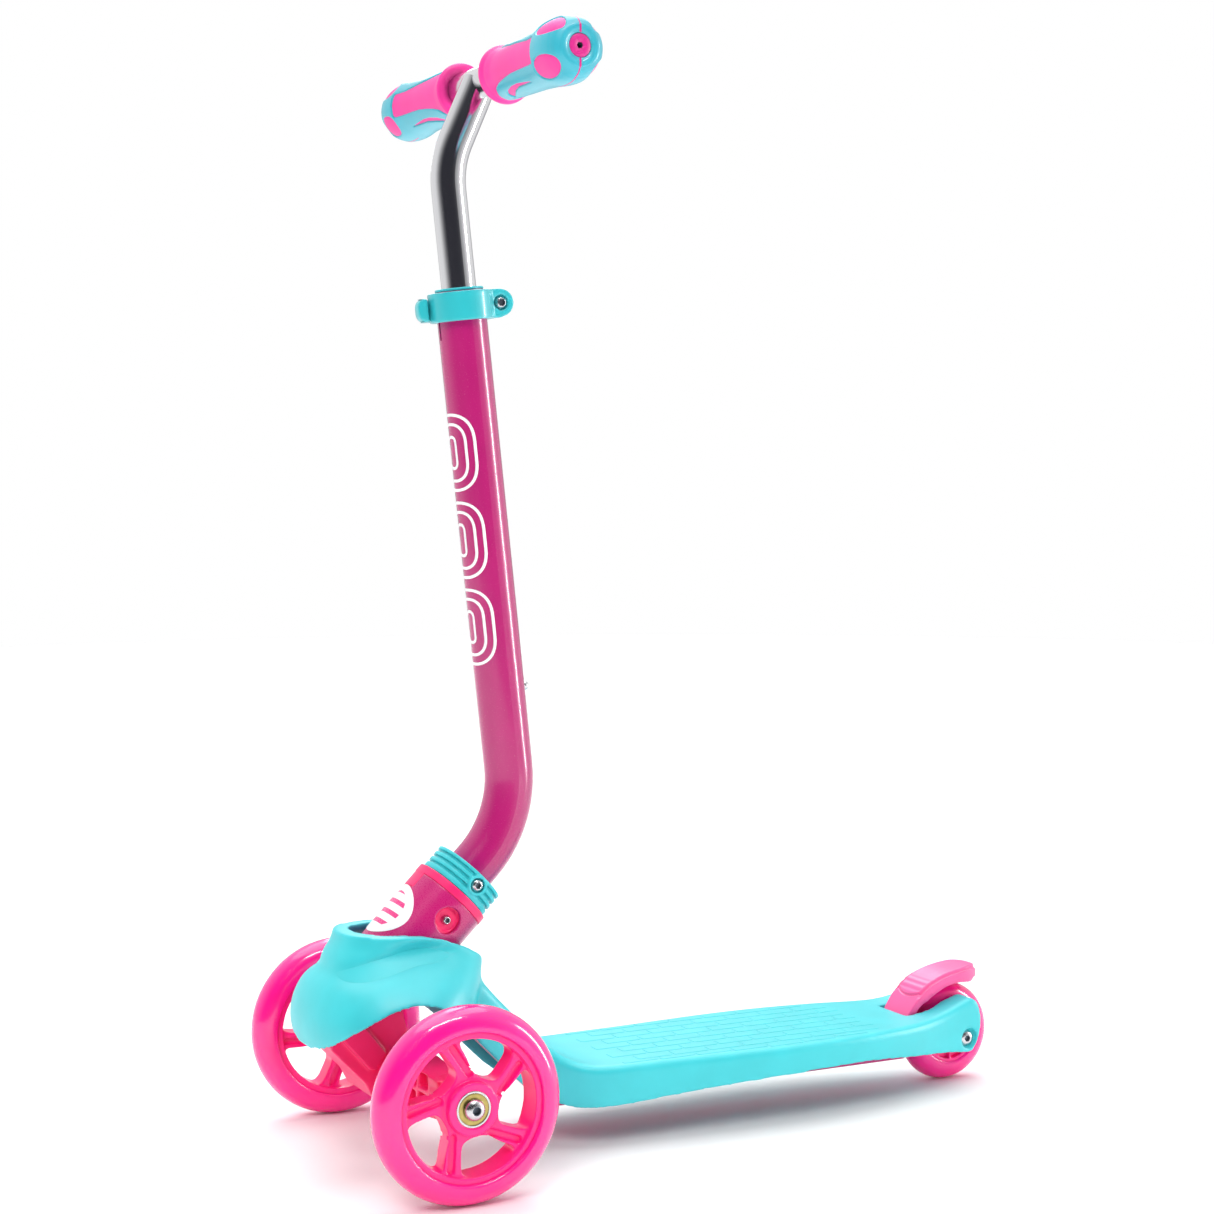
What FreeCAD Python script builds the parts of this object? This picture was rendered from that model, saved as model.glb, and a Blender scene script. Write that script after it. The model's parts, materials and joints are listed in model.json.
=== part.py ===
import FreeCAD, Part
import math
import os

# Three-wheeled child's kick scooter, in millimetres.
# X is across (plus = rider's left), Y runs to the rear, Z is up, floor at Z = 0.
# Everything is drawn with the front axle at Y = 0 and shifted to the middle of
# the overall length when it is saved.

V = FreeCAD.Vector
ROOT2 = math.sqrt(2.0)

# --- driving dimensions -------------------------------------------------------
front_wheel_r = 60.0
front_wheel_w = 25.0
front_wheel_x = 112.0
rear_wheel_r = 35.0
rear_wheel_w = 22.0
wheelbase = 420.8
bearing_r = 11.0
bearing_w = 7.0
axle_r = 3.95
bearing_bore_r = 4.0
front_seat_r = 46.0          # radius where tyre and core meet
rear_seat_r = 21.5
wheel_phase = 27.6           # the right wheel is stored turned by this much
hood_front = 64.0            # foremost point, ahead of the front axle
row_shift = -(wheelbase + rear_wheel_r - hood_front) / 2.0

head_offset = 128.1          # the 45 degree steering axis is y = z - head_offset
steer_limit = 15.0
head_tube_r = 26.4
head_tube_bore_r = 23.5
head_tube_s = (70.0, 139.4)
flange_top_s = 145.0
collar_s = (145.4, 161.8)
collar_r = 24.8
bush_bore_r = 15.95
side_screw_s = 125.7
collar_screw_s = 154.9

stem_r = 15.9
stem_wall = 1.8
stem_ref = (48.2, 519.0)     # a point of the straight part of the stem (y, z)
stem_lean = 6.24             # degrees, the top leans forward
stem_bend_r = 75.0
stem_top_w = 31.3
stem_end_s = 27.0

tube_r = 11.1
tube_wall = 1.6
tbar_axis = (62.0, 682.0)
tbar_half = 135.5
tbar_joint_y = 59.3
tbar_upper_lean = 23.8
tbar_bend_r = 60.0
tbar_bottom_w = -252.0
grip_x = (32.0, 140.3)
height_travel = 150.0
button_w = -225.0
button_step = 50.0

clamp_w = (12.4, 30.9)
clamp_r = 20.6
clamp_bolt_d = 24.0
clamp_bolt_w = 21.8
lever_pin_x = -17.0

deck_wall = 3.0
rail_half = 16.0
rail_z = (22.0, 34.0)
deck_screw_y = (150.0, 330.0)
cheek_gap = 13.5
brake_pivot = (366.0, 42.0)
brake_half = 17.0
slot_half = 14.0

# --- frames -------------------------------------------------------------------
head_dir = V(0, 1 / ROOT2, 1 / ROOT2)
head_rear = V(0, 1 / ROOT2, -1 / ROOT2)
head_base = V(0, -head_offset / 2.0, head_offset / 2.0)
lean = math.radians(stem_lean)
stem_dir = V(0, -math.sin(lean), math.cos(lean))
stem_rear = V(0, math.cos(lean), math.sin(lean))
stem_base = V(0, stem_ref[0], stem_ref[1])
X_AXIS = V(1, 0, 0)


def head_point(s, x=0.0, t=0.0):
    """Point s up the steering axis, x across, t square to it and rearward."""
    return head_base + head_dir * s + X_AXIS * x + head_rear * t


def stem_point(w, x=0.0, d=0.0):
    """Point w up the stem from its reference, x across, d to the rear."""
    return stem_base + stem_dir * w + X_AXIS * x + stem_rear * d


def fuse(shapes):
    first = shapes[0]
    if len(shapes) > 1:
        first = first.multiFuse(shapes[1:])
    return first.removeSplitter()


def cyl(start, end, r):
    along = end - start
    return Part.makeCylinder(r, along.Length, start, along)


def ring(start, end, r_out, r_in):
    return cyl(start, end, r_out).cut(cyl(start, end, r_in))


def head_cyl(s0, s1, r):
    return cyl(head_point(s0), head_point(s1), r)


def stem_cyl(w0, w1, r):
    return cyl(stem_point(w0), stem_point(w1), r)


def x_cyl(x0, x1, y, z, r):
    return cyl(V(x0, y, z), V(x1, y, z), r)


def face(points):
    return Part.Face(Part.makePolygon(points + [points[0]]))


def side_plate(profile, x0, x1):
    """A (y, z) outline made solid from x0 to x1."""
    return face([V(x0, y, z) for y, z in profile]).extrude(V(x1 - x0, 0, 0))


def plan_plate(half_widths, inset, z0, z1):
    """A symmetric plan outline from (y, half width) pairs, made solid in z."""
    side = [V(half - inset, y, z0) for y, half in half_widths]
    curve = Part.BSplineCurve()
    curve.interpolate(side)
    other = Part.BSplineCurve()
    other.interpolate([V(-p.x, p.y, p.z) for p in side])
    front = Part.LineSegment(V(-side[0].x, side[0].y, z0), side[0])
    back = Part.LineSegment(side[-1], V(-side[-1].x, side[-1].y, z0))
    wire = Part.Wire(Part.__sortEdges__([c.toShape() for c in (curve, other, front, back)]))
    return Part.Face(wire).extrude(V(0, 0, z1 - z0))


def revolve(profile, centre, along, out):
    """Turn (distance along, radius) pairs about an axis."""
    points = [centre + along * a + out * r for a, r in profile]
    return face(points).revolve(centre, along, 360)


def mirrored(shape):
    return shape.mirror(V(0, 0, 0), X_AXIS)


def save(name, shape):
    solid = shape.copy()
    solid.translate(V(0, row_shift, 0))
    if len(solid.Solids) == 1:
        solid = solid.Solids[0]
    solid.exportStep("parts/" + name + ".step")


# --- wheels -------------------------------------------------------------------
def tyre(r, w, seat_r):
    """Ring with a rounded tread, on the X axis, centred on the origin."""
    h = w / 2.0
    crown = h
    mid = r - crown
    points = [V(-h, 0, seat_r), V(-h, 0, mid), V(h, 0, mid), V(h, 0, seat_r)]
    arc = Part.Arc(points[1], V(0, 0, r), points[2]).toShape()
    edges = [
        Part.makeLine(points[0], points[1]),
        arc,
        Part.makeLine(points[2], points[3]),
        Part.makeLine(points[3], points[0]),
    ]
    return Part.Face(Part.Wire(edges)).revolve(V(0, 0, 0), X_AXIS, 360)


def polar(r, degrees, x=0.0):
    """Point in a wheel: angle from +Y towards +Z."""
    angle = math.radians(degrees)
    return V(x, r * math.cos(angle), r * math.sin(angle))


def spoke_groove(x0):
    """Round-ended slot along a spoke, cut from x0."""
    inner, outer = polar(20.5, 92, x0), polar(38.5, 107, x0)
    side = (outer - inner).normalize().cross(X_AXIS) * 2.3
    inner, outer = polar(20.5, 92, x0), polar(38.5, 107, x0)
    bar = face([inner + side, outer + side, outer - side, inner - side]).extrude(V(4.0, 0, 0))
    return fuse([bar] + [Part.makeCylinder(2.3, 4.0, end, X_AXIS) for end in (inner, outer)])


def swept_spokes(half):
    """Web with five openings whose sides lean, so the spokes look swept."""
    web = cyl(V(-half, 0, 0), V(half, 0, 0), 44.0)
    opening = [
        (40.4, 98.5), (41.6, 72), (39.5, 46.5), (30, 42.5),
        (21.8, 42.5), (18.6, 60), (21, 84), (31, 95),
    ]
    curve = Part.BSplineCurve()
    curve.interpolate([polar(r, angle, -20) for r, angle in opening], PeriodicFlag=True)
    window = Part.Face(Part.Wire(curve.toShape())).extrude(V(40, 0, 0))
    for i in range(5):
        hole = window.copy()
        hole.rotate(V(0, 0, 0), X_AXIS, 72.0 * i)
        web = web.cut(hole)
        for x0 in (-half - 1.0, half - 3.0):
            cut = spoke_groove(x0)
            cut.rotate(V(0, 0, 0), X_AXIS, 72.0 * i)
            web = web.cut(cut)
    return web


def front_core(seat_r, phase):
    """Hub, five swept spokes and the rim ring of a front wheel."""
    half = front_wheel_w / 2.0
    rim = ring(V(-half + 2.5, 0, 0), V(half - 2.5, 0, 0), seat_r, seat_r - 4.5)
    hub = cyl(V(-half + 0.6, 0, 0), V(half - 0.6, 0, 0), 16.0)
    core = fuse([rim, hub, swept_spokes(6.8)])
    core.rotate(V(0, 0, 0), X_AXIS, phase)
    return core


def rear_core(seat_r):
    """Solid-webbed rear core with a ring of shallow pockets on both sides."""
    core = cyl(V(-10.4, 0, 0), V(10.4, 0, 0), seat_r)
    for side in (-1, 1):
        dish = ring(V(side * 10.4, 0, 0), V(side * 6.4, 0, 0), seat_r - 2.5, 14.5)
        ribs = []
        for i in range(10):
            rib = Part.makeBox(4.0, 1.8, seat_r, V(min(side * 10.4, side * 6.4), -0.9, 0))
            rib.rotate(V(0, 0, 0), X_AXIS, 36.0 * i)
            ribs.append(rib)
        core = core.cut(dish.cut(fuse(ribs)))
    return core


def bearing(x_mid):
    """Shielded ball bearing shown as one ring with a shield step."""
    h = bearing_w / 2.0
    profile = [
        (-h, bearing_bore_r), (-h, 6.1), (-h + 0.5, 6.1), (-h + 0.5, 9.6), (-h, 9.6), (-h, bearing_r),
        (h, bearing_r), (h, 9.6), (h - 0.5, 9.6), (h - 0.5, 6.1), (h, 6.1), (h, bearing_bore_r),
    ]
    return revolve(profile, V(x_mid, 0, 0), X_AXIS, V(0, 0, 1))


def wheel(name, r, w, seat_r, core, centre):
    """Save one wheel: tyre, core, two bearings and the tube between them."""
    edge = w / 2.0 - 1.0
    inner = edge - bearing_w
    core = core.cut(x_cyl(-edge, edge, 0, 0, bearing_r))
    core = core.fuse(ring(V(-inner, 0, 0), V(inner, 0, 0), bearing_r, 8.0)).removeSplitter()
    side = 1 if centre.x >= 0 else -1
    pieces = {
        "tyre": tyre(r, w, seat_r),
        "core": core.cut(x_cyl(-w, -edge, 0, 0, bearing_r)).cut(x_cyl(edge, w, 0, 0, bearing_r)),
        "bearing_outer": bearing(side * (edge - bearing_w / 2.0)),
        "bearing_inner": bearing(-side * (edge - bearing_w / 2.0)),
        "spacer": ring(V(-inner, 0, 0), V(inner, 0, 0), 6.0, bearing_bore_r),
    }
    for part, shape in pieces.items():
        save(name + "_" + part, shape.translated(centre))


# --- deck, neck and hood --------------------------------------------------------
# side outlines are (y, z) pairs, the plan outline is (y, half width) pairs
deck_top = [
    (28, 121), (40, 119.6), (46, 114.8), (52, 107.8), (58, 101.2), (65, 94), (76, 82.8),
    (87, 71.4), (97, 62.8), (109, 56), (124, 53.3), (140, 53),
]
deck_rear_top = [(345, 53), (376, 53.2), (392, 54.9), (406, 58.4), (416, 61.6), (423.5, 63.8)]
deck_tail = [(423.5, 63.8), (428, 61), (431, 54), (431.8, 46), (430.2, 36), (426.4, 28.4), (420, 25.3)]
deck_bottom = [
    (420, 25.3), (400, 28), (375, 30), (350, 32.5), (319, 34.6), (282, 34.4),
    (246, 33.3), (202, 31.2), (160, 28.5), (126, 26.6), (106, 27.4), (94, 31),
    (76, 42), (58, 59), (40, 78), (28, 92),
]
deck_plan = [
    (28, 34), (50, 33), (70, 32), (85, 34), (97, 38.5), (108, 44), (122, 48.5),
    (140, 50.5), (170, 51.5), (200, 53), (250, 56), (280, 56), (305, 54.5),
    (330, 51.5), (350, 48), (370, 43.5), (390, 38.5), (412, 34.5), (435, 32.5),
]
deck_hollow_end = 354.0
neck_web = [
    (26, 88), (47, 68), (74, 46), (90, 40), (108, 36), (104, 28),
    (94, 31), (84, 36.5), (68, 45.5), (47, 62), (22, 83),
]
hood_levels = [
    # z, front y, rear y, half width
    (66.0, -56.0, 30.0, 56.0),
    (78.0, -62.0, 36.0, 65.0),
    (92.0, -64.0, 41.0, 69.0),
    (106.0, -61.5, 46.0, 65.5),
    (118.0, -56.0, 51.0, 56.0),
    (128.0, -50.0, 54.0, 45.0),
    (138.0, -43.5, 54.0, 37.0),
    (152.0, -39.5, 53.5, 34.0),
]
hood_arch = [
    (-70, 50), (-70, 77), (-62, 77), (-58.5, 82.2), (-53.6, 88.8), (-47, 94.8), (-38.2, 100.8),
    (-28.4, 105.8), (-18.8, 108.6), (-9.2, 109.5), (0, 108.4), (10, 104.3), (20, 97), (30, 87),
    (40, 76), (60, 54), (60, 50),
]
hood_rim = [
    (-60, 175), (-60, 148), (-30, 147.5), (-8, 146.8), (8, 145.4), (20, 142.8),
    (35, 137), (47, 129.5), (56, 121), (75, 118), (75, 175),
]


def spline_edge(profile, x):
    curve = Part.BSplineCurve()
    curve.interpolate([V(x, y, z) for y, z in profile])
    return curve.toShape()


def deck_outline():
    """Side outline of neck, platform and cheeks, cut to the plan outline."""
    closer = Part.makeLine(V(-70, *deck_bottom[-1]), V(-70, *deck_top[0]))
    flat = Part.makeLine(V(-70, *deck_top[-1]), V(-70, *deck_rear_top[0]))
    edges = [spline_edge(points, -70) for points in (deck_top, deck_rear_top, deck_tail, deck_bottom)]
    wire = Part.Wire(Part.__sortEdges__(edges + [flat, closer]))
    body = Part.Face(wire).extrude(V(140, 0, 0)).common(plan_plate(deck_plan, 0.0, 0, 140))
    long_edges = [
        edge for edge in body.Edges
        if edge.BoundBox.YLength > 30 and edge.BoundBox.ZMin > 50 and abs(edge.BoundBox.Center.x) > 25
    ]
    return body.makeFillet(5.0, long_edges)


def hood_solid(inset):
    """Stack of rounded plan sections, joined smoothly."""
    wires = []
    for z, front, rear, half in hood_levels:
        a = half - inset
        b = (rear - front) / 2.0 - inset
        y = (rear + front) / 2.0
        points = []
        for k in range(16):
            angle = 2.0 * math.pi * k / 16.0
            across = math.copysign(abs(math.cos(angle)) ** 0.85, math.cos(angle))
            along = math.copysign(abs(math.sin(angle)) ** 0.85, math.sin(angle))
            points.append(V(a * across, y + b * along, z))
        curve = Part.BSplineCurve()
        curve.interpolate(points, PeriodicFlag=True)
        wires.append(Part.Wire(curve.toShape()))
    return Part.makeLoft(wires, True, False)


def deck_hood():
    """Hood, neck and deck in one moulding, open underneath."""
    hood_outer = hood_solid(0.0)
    hood_inner = hood_solid(deck_wall)
    below = side_plate(hood_arch, -90, 90)
    above = side_plate(hood_rim, -90, 90)
    hood = hood_outer.cut(hood_inner).cut(below).cut(above)

    outer = deck_outline()
    roof = [(y, z - deck_wall) for y, z in deck_top] + [(deck_hollow_end, 50.0)]
    hollow = [(24, 92)] + roof + [(deck_hollow_end, 10), (24, 10)]
    room = side_plate(hollow, -70, 70).common(plan_plate(deck_plan, deck_wall, 0, 140))
    deck = outer.cut(room)

    keel = side_plate(neck_web, -2.5, 2.5)
    bosses = [cyl(V(0, y, rail_z[1]), V(0, y, 50.5), 6.0) for y in deck_screw_y]
    body = fuse([hood, deck, keel] + bosses)
    body = body.cut(head_cyl(40, 175, head_tube_r))
    body = body.cut(rail_solid())
    for y in deck_screw_y:
        body = body.cut(cyl(V(0, y, rail_z[1] - 1), V(0, y, 46.0), 2.0))
    well = Part.makeBox(2 * cheek_gap, 80, 90, V(-cheek_gap, wheelbase - rear_wheel_r - 4.5, 0))
    slot = Part.makeBox(2 * slot_half, 35, 38.5, V(-slot_half, 357, 10))
    mouth = [(17.6, 377.7), (17.6, 396), (14, 408), (-14, 408), (-17.6, 396), (-17.6, 377.7)]
    body = body.cut(well).cut(slot).cut(face([V(x, y, 44.5) for x, y in mouth]).extrude(V(0, 0, 34)))
    body = body.cut(x_cyl(-60, 60, wheelbase, rear_wheel_r, 4.0))
    body = body.cut(x_cyl(-20, 20, brake_pivot[0], brake_pivot[1], 2.5))
    for x0, x1 in ((28.5, 60), (-60, -28.5)):
        body = body.cut(x_cyl(x0, x1, wheelbase + 0.6, rear_wheel_r + 0.3, 7.0))
    return max(body.Solids, key=lambda part: part.Volume)


# --- steel frame ----------------------------------------------------------------
def rail_solid():
    """Neck and under-deck rail, one bent box section."""
    outline = [
        (378, rail_z[0]), (378, rail_z[1]), (110, rail_z[1]), (36, 106),
        (20, 104), (98, 26), (104, rail_z[0]),
    ]
    return side_plate(outline, -rail_half, rail_half)


def frame_rail():
    rail = rail_solid().cut(head_cyl(40, 175, head_tube_r))
    for y in deck_screw_y:
        rail = rail.cut(cyl(V(0, y, 10), V(0, y, 40), 2.2))
        rail = rail.cut(cyl(V(0, y, 10), V(0, y, rail_z[0] + 2), 4.6))
    return rail.cut(Part.makeBox(60, 40, 40, V(-30, 352.0, rail_z[0] + 7)))


def deck_screw(y):
    head = cyl(V(0, y, rail_z[0]), V(0, y, rail_z[0] + 2), 4.5)
    shank = cyl(V(0, y, rail_z[0] + 2), V(0, y, 46.0), 2.0)
    socket = cyl(V(0, y, 20), V(0, y, rail_z[0] + 1.2), 1.8)
    return fuse([head, shank]).cut(socket)


def head_tube():
    tube = head_cyl(head_tube_s[0], head_tube_s[1], head_tube_r).cut(head_cyl(60, 150, head_tube_bore_r))
    recess = cyl(head_point(side_screw_s, -40), head_point(side_screw_s, 40), 8.5)
    return tube.cut(recess).cut(front_tab())


def front_tab():
    """The hook of the bush flange that sits in the notch of the head tube."""
    base = head_point(head_tube_s[1] - 11.0, 0, -head_tube_r - 2.0)
    points = [
        base + X_AXIS * -6.5, base + X_AXIS * 6.5,
        base + X_AXIS * 6.5 + head_dir * 11.0, base + X_AXIS * -6.5 + head_dir * 11.0,
    ]
    block = face(points).extrude(head_rear * 6.0)
    return block.cut(head_cyl(60, 150, head_tube_bore_r)).common(head_cyl(60, 150, head_tube_r))


def upper_bush():
    sleeve = head_cyl(98.0, head_tube_s[1], head_tube_bore_r)
    flange = head_cyl(head_tube_s[1], flange_top_s, head_tube_r + 0.3)
    body = fuse([sleeve, flange, front_tab()])
    body = body.cut(head_cyl(60, 170, bush_bore_r))
    for side in (-1, 1):
        far = head_point(side_screw_s, side * 40)
        body = body.cut(cyl(head_point(side_screw_s, side * 21.5), far, 7.2))
        body = body.cut(cyl(head_point(side_screw_s), far, 2.5))
    return body


def lower_bush():
    sleeve = head_cyl(head_tube_s[0], 90.0, head_tube_bore_r)
    flange = head_cyl(67.0, head_tube_s[0], head_tube_r - 1.5)
    return fuse([sleeve, flange]).cut(head_cyl(60, 100, bush_bore_r))


def bush_screw():
    head = cyl(head_point(side_screw_s, 21.5), head_point(side_screw_s, 24.5), 3.2)
    socket = cyl(head_point(side_screw_s, 23.0), head_point(side_screw_s, 24.5), 1.5)
    shank = cyl(head_point(side_screw_s, 14.4), head_point(side_screw_s, 21.5), 2.5)
    return fuse([head, shank]).cut(socket)


def head_badge():
    """Round sticker wrapped on the front of the head tube."""
    skin = head_cyl(60, 150, head_tube_r + 0.25).cut(head_cyl(60, 150, head_tube_r))
    disc = cyl(head_point(109.0, 0, -40), head_point(109.0, 0, 0), 19.0)
    return skin.common(disc)


# --- stem, collar, truck --------------------------------------------------------
def bend_path(corner, first, second, radius):
    """Corner rounded by an arc: returns the two tangent points and the arc."""
    a = first.normalize()
    b = second.normalize()
    half = math.acos(max(-1.0, min(1.0, a.dot(b)))) / 2.0
    reach = radius * math.tan(half)
    start = corner - a * reach
    end = corner + b * reach
    inward = (b - a).normalize()
    middle = corner + inward * (radius / math.cos(half) - radius)
    return start, end, Part.Arc(start, middle, end).toShape()


def stem_path():
    slope = math.tan(lean)
    corner_z = (stem_ref[0] + slope * stem_ref[1] + head_offset) / (1.0 + slope)
    corner = V(0, corner_z - head_offset, corner_z)
    start, end, arc = bend_path(corner, stem_dir * -1.0, head_dir * -1.0, stem_bend_r)
    top = stem_point(stem_top_w)
    bottom = head_point(stem_end_s)
    return Part.Wire([Part.makeLine(top, start), arc, Part.makeLine(end, bottom)])


def pipe(path, r):
    edge = path.Edges[0]
    start = edge.valueAt(edge.FirstParameter)
    along = edge.tangentAt(edge.FirstParameter)
    circle = Part.Wire(Part.makeCircle(r, start, along))
    return path.makePipeShell([circle], True, True)


def stem_tube():
    tube = pipe(stem_path(), stem_r).cut(pipe(stem_path(), stem_r - stem_wall))
    span = steer_limit + math.degrees(math.asin(2.5 / stem_r)) + 1.5
    for side in (-1, 1):
        near = head_point(side_screw_s - 2.8, side * 10.0)
        block = face([
            near, near + X_AXIS * side * 10.0,
            near + X_AXIS * side * 10.0 + head_dir * 5.6, near + head_dir * 5.6,
        ])
        slot = block.revolve(head_base, head_dir, span)
        other = block.revolve(head_base, head_dir, -span)
        tube = tube.cut(slot).cut(other)
    tube = tube.cut(cyl(head_point(55.0, -40), head_point(55.0, 40), 3.0))
    steps = int(round(height_travel / button_step))
    for i in range(steps + 1):
        w = button_w + i * button_step
        tube = tube.cut(cyl(stem_point(w, 0, 5), stem_point(w, 0, 30), 3.6))
    slit = Part.makeBox(2.4, 12, 30, V(-1.2, -12, -30))
    slit.rotate(V(0, 0, 0), X_AXIS, stem_lean)
    slit.translate(stem_point(stem_top_w, 0, -8))
    return tube.cut(slit)


def stem_collar():
    length = collar_s[1] - collar_s[0]
    groove = 1.9
    pitch = length / 3.75
    body = head_cyl(collar_s[0], collar_s[1], collar_r)
    boss = cyl(head_point(collar_screw_s, -collar_r - 0.8), head_point(collar_screw_s, collar_r + 0.8), 6.6)
    for i in range(3):
        s = collar_s[0] + pitch * (i + 0.85)
        cut = head_cyl(s, s + groove, collar_r + 1).cut(head_cyl(s, s + groove, collar_r - 2.4))
        body = body.cut(cut)
    slab = head_cyl(collar_s[0], collar_s[1], collar_r + 2)
    body = fuse([body, boss.common(slab)]).cut(head_cyl(60, 190, stem_r))
    for side in (-1, 1):
        far = head_point(collar_screw_s, side * 40)
        body = body.cut(cyl(head_point(collar_screw_s, side * 23.0), far, 4.8))
        body = body.cut(cyl(head_point(collar_screw_s, side * 17.0), far, 2.0))
    return body


def collar_screw():
    head = cyl(head_point(collar_screw_s, 23.0), head_point(collar_screw_s, 26.2), 4.2)
    socket = cyl(head_point(collar_screw_s, 24.4), head_point(collar_screw_s, 26.2), 1.7)
    shank = cyl(head_point(collar_screw_s, 17.0), head_point(collar_screw_s, 23.0), 2.0)
    return fuse([head, shank]).cut(socket)


def truck_block():
    """Socket block: faces square to the steering axis."""
    outline = [
        (-18.5, 46.0), (-18.5, 60.0), (-14.0, 66.6), (16.0, 66.6), (37.0, 54.0),
        (44.0, 30.0), (41.0, 14.0), (30.0, 17.5), (-2.0, 18.2), (-12.0, 27.0),
    ]
    pad = [(-12.0, 28.0), (-12.0, 44.0), (26.0, 40.0), (28.0, 28.0), (25.0, 25.5)]
    block = face([head_point(s, -24.0, t) for t, s in outline]).extrude(V(48, 0, 0))
    rear_half = face([head_point(s, -60.0, t) for t, s in ((0, 0), (80, 0), (80, 100), (0, 100))])
    block = block.common(fuse([head_cyl(0, 100, 24.6), rear_half.extrude(V(120, 0, 0))]))
    pads = face([head_point(s, -28.0, t) for t, s in pad]).extrude(V(56, 0, 0))
    return fuse([block, pads])


def truck_arm():
    """Tapered arm to the left hub with two rows of pockets in its front."""
    root = [(-17, 40), (14, 38), (17, 60), (10, 74), (-14, 76)]
    tip = [(-12, 48), (11, 48), (12, 60), (9, 71), (-11, 71)]
    wires = [
        Part.makePolygon([V(20, y, z) for y, z in root + root[:1]]),
        Part.makePolygon([V(94, y, z) for y, z in tip + tip[:1]]),
    ]
    arm = Part.makeLoft(wires, True, True)
    hub = x_cyl(84, front_wheel_x - front_wheel_w / 2.0 - 1.0, 0, front_wheel_r, 13.0)
    nose = x_cyl(90, front_wheel_x - front_wheel_w / 2.0 + 0.9, 0, front_wheel_r, 6.0)
    arm = fuse([arm, hub, nose])
    for x0, x1 in ((31, 47), (50, 64), (67, 80)):
        for z0, z1 in ((45, 57), (60.5, 69)):
            arm = arm.cut(Part.makeBox(x1 - x0, 14, z1 - z0, V(x0, -20, z0 + (x0 - 30) * 0.05)))
    return arm


def truck():
    body = fuse([truck_block(), truck_arm(), mirrored(truck_arm())])
    body = body.cut(head_cyl(stem_end_s, 80, stem_r))
    body = body.cut(cyl(head_point(55.0, -40), head_point(55.0, 40), 3.0))
    for side in (-1, 1):
        body = body.cut(cyl(V(side * 62, 0, front_wheel_r), V(side * 120, 0, front_wheel_r), axle_r))
    return body


def axle_bolt():
    """M8 wheel bolt of the left wheel: low domed head, hex socket."""
    x_face = front_wheel_x + front_wheel_w / 2.0 - 1.0
    head = revolve([(0, 0), (0, 6.6), (2.0, 6.4), (3.8, 5.0), (4.6, 3.2), (4.6, 0)],
                   V(x_face, 0, front_wheel_r), X_AXIS, V(0, 0, 1))
    shank = x_cyl(62.0, x_face, 0, front_wheel_r, axle_r)
    socket = x_cyl(x_face + 1.8, x_face + 6, 0, front_wheel_r, 2.3)
    return fuse([head, shank]).cut(socket)


def truck_bolt():
    head = cyl(head_point(55.0, 24.0), head_point(55.0, 27.5), 5.0)
    shank = cyl(head_point(55.0, -28.0), head_point(55.0, 24.0), 3.0)
    return fuse([head, shank])


def truck_nut():
    return ring(head_point(55.0, -27.8), head_point(55.0, -24.0), 5.2, 3.0)


# --- clamp at the top of the stem ------------------------------------------------
def clamp_block(x0, x1, d0, d1):
    """Block as tall as the clamp, from x0 to x1 across and d0 to d1 rearward."""
    corners = ((x0, d0), (x1, d0), (x1, d1), (x0, d1))
    base = face([stem_point(clamp_w[0], x, d) for x, d in corners])
    return base.extrude(stem_dir * (clamp_w[1] - clamp_w[0]))


def bolt_cyl(x0, x1, r):
    """Cylinder on the clamp bolt's axis."""
    start = stem_point(clamp_bolt_w, x0, clamp_bolt_d)
    end = stem_point(clamp_bolt_w, x1, clamp_bolt_d)
    return cyl(start, end, r)


def pin_cyl(w0, w1, r):
    """Cylinder on the lever's axis."""
    start = stem_point(w0, lever_pin_x, clamp_bolt_d)
    end = stem_point(w1, lever_pin_x, clamp_bolt_d)
    return cyl(start, end, r)


def clamp_band():
    """Split band round the stem with two ears for the bolt."""
    band = stem_cyl(clamp_w[0], clamp_w[1], clamp_r)
    ears = clamp_block(-10.0, 10.0, 8.0, clamp_bolt_d)
    body = fuse([band, ears, bolt_cyl(-10.0, 10.0, 8.8)])
    body = body.cut(stem_cyl(0, 40, stem_r)).cut(clamp_block(-2.0, 2.0, 8.0, 40.0))
    return body.cut(bolt_cyl(-30, 30, 3.0)).cut(bolt_cyl(7.5, 30, 4.9))


def clamp_bolt():
    head = bolt_cyl(7.5, 10.6, 4.1)
    shank = bolt_cyl(lever_pin_x, 7.5, 3.0)
    return fuse([head, shank]).cut(bolt_cyl(8.9, 11.0, 2.0)).cut(lever_pin())


def lever_pin():
    return pin_cyl(clamp_w[0] + 2, clamp_w[1] - 1, 3.2)


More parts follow.
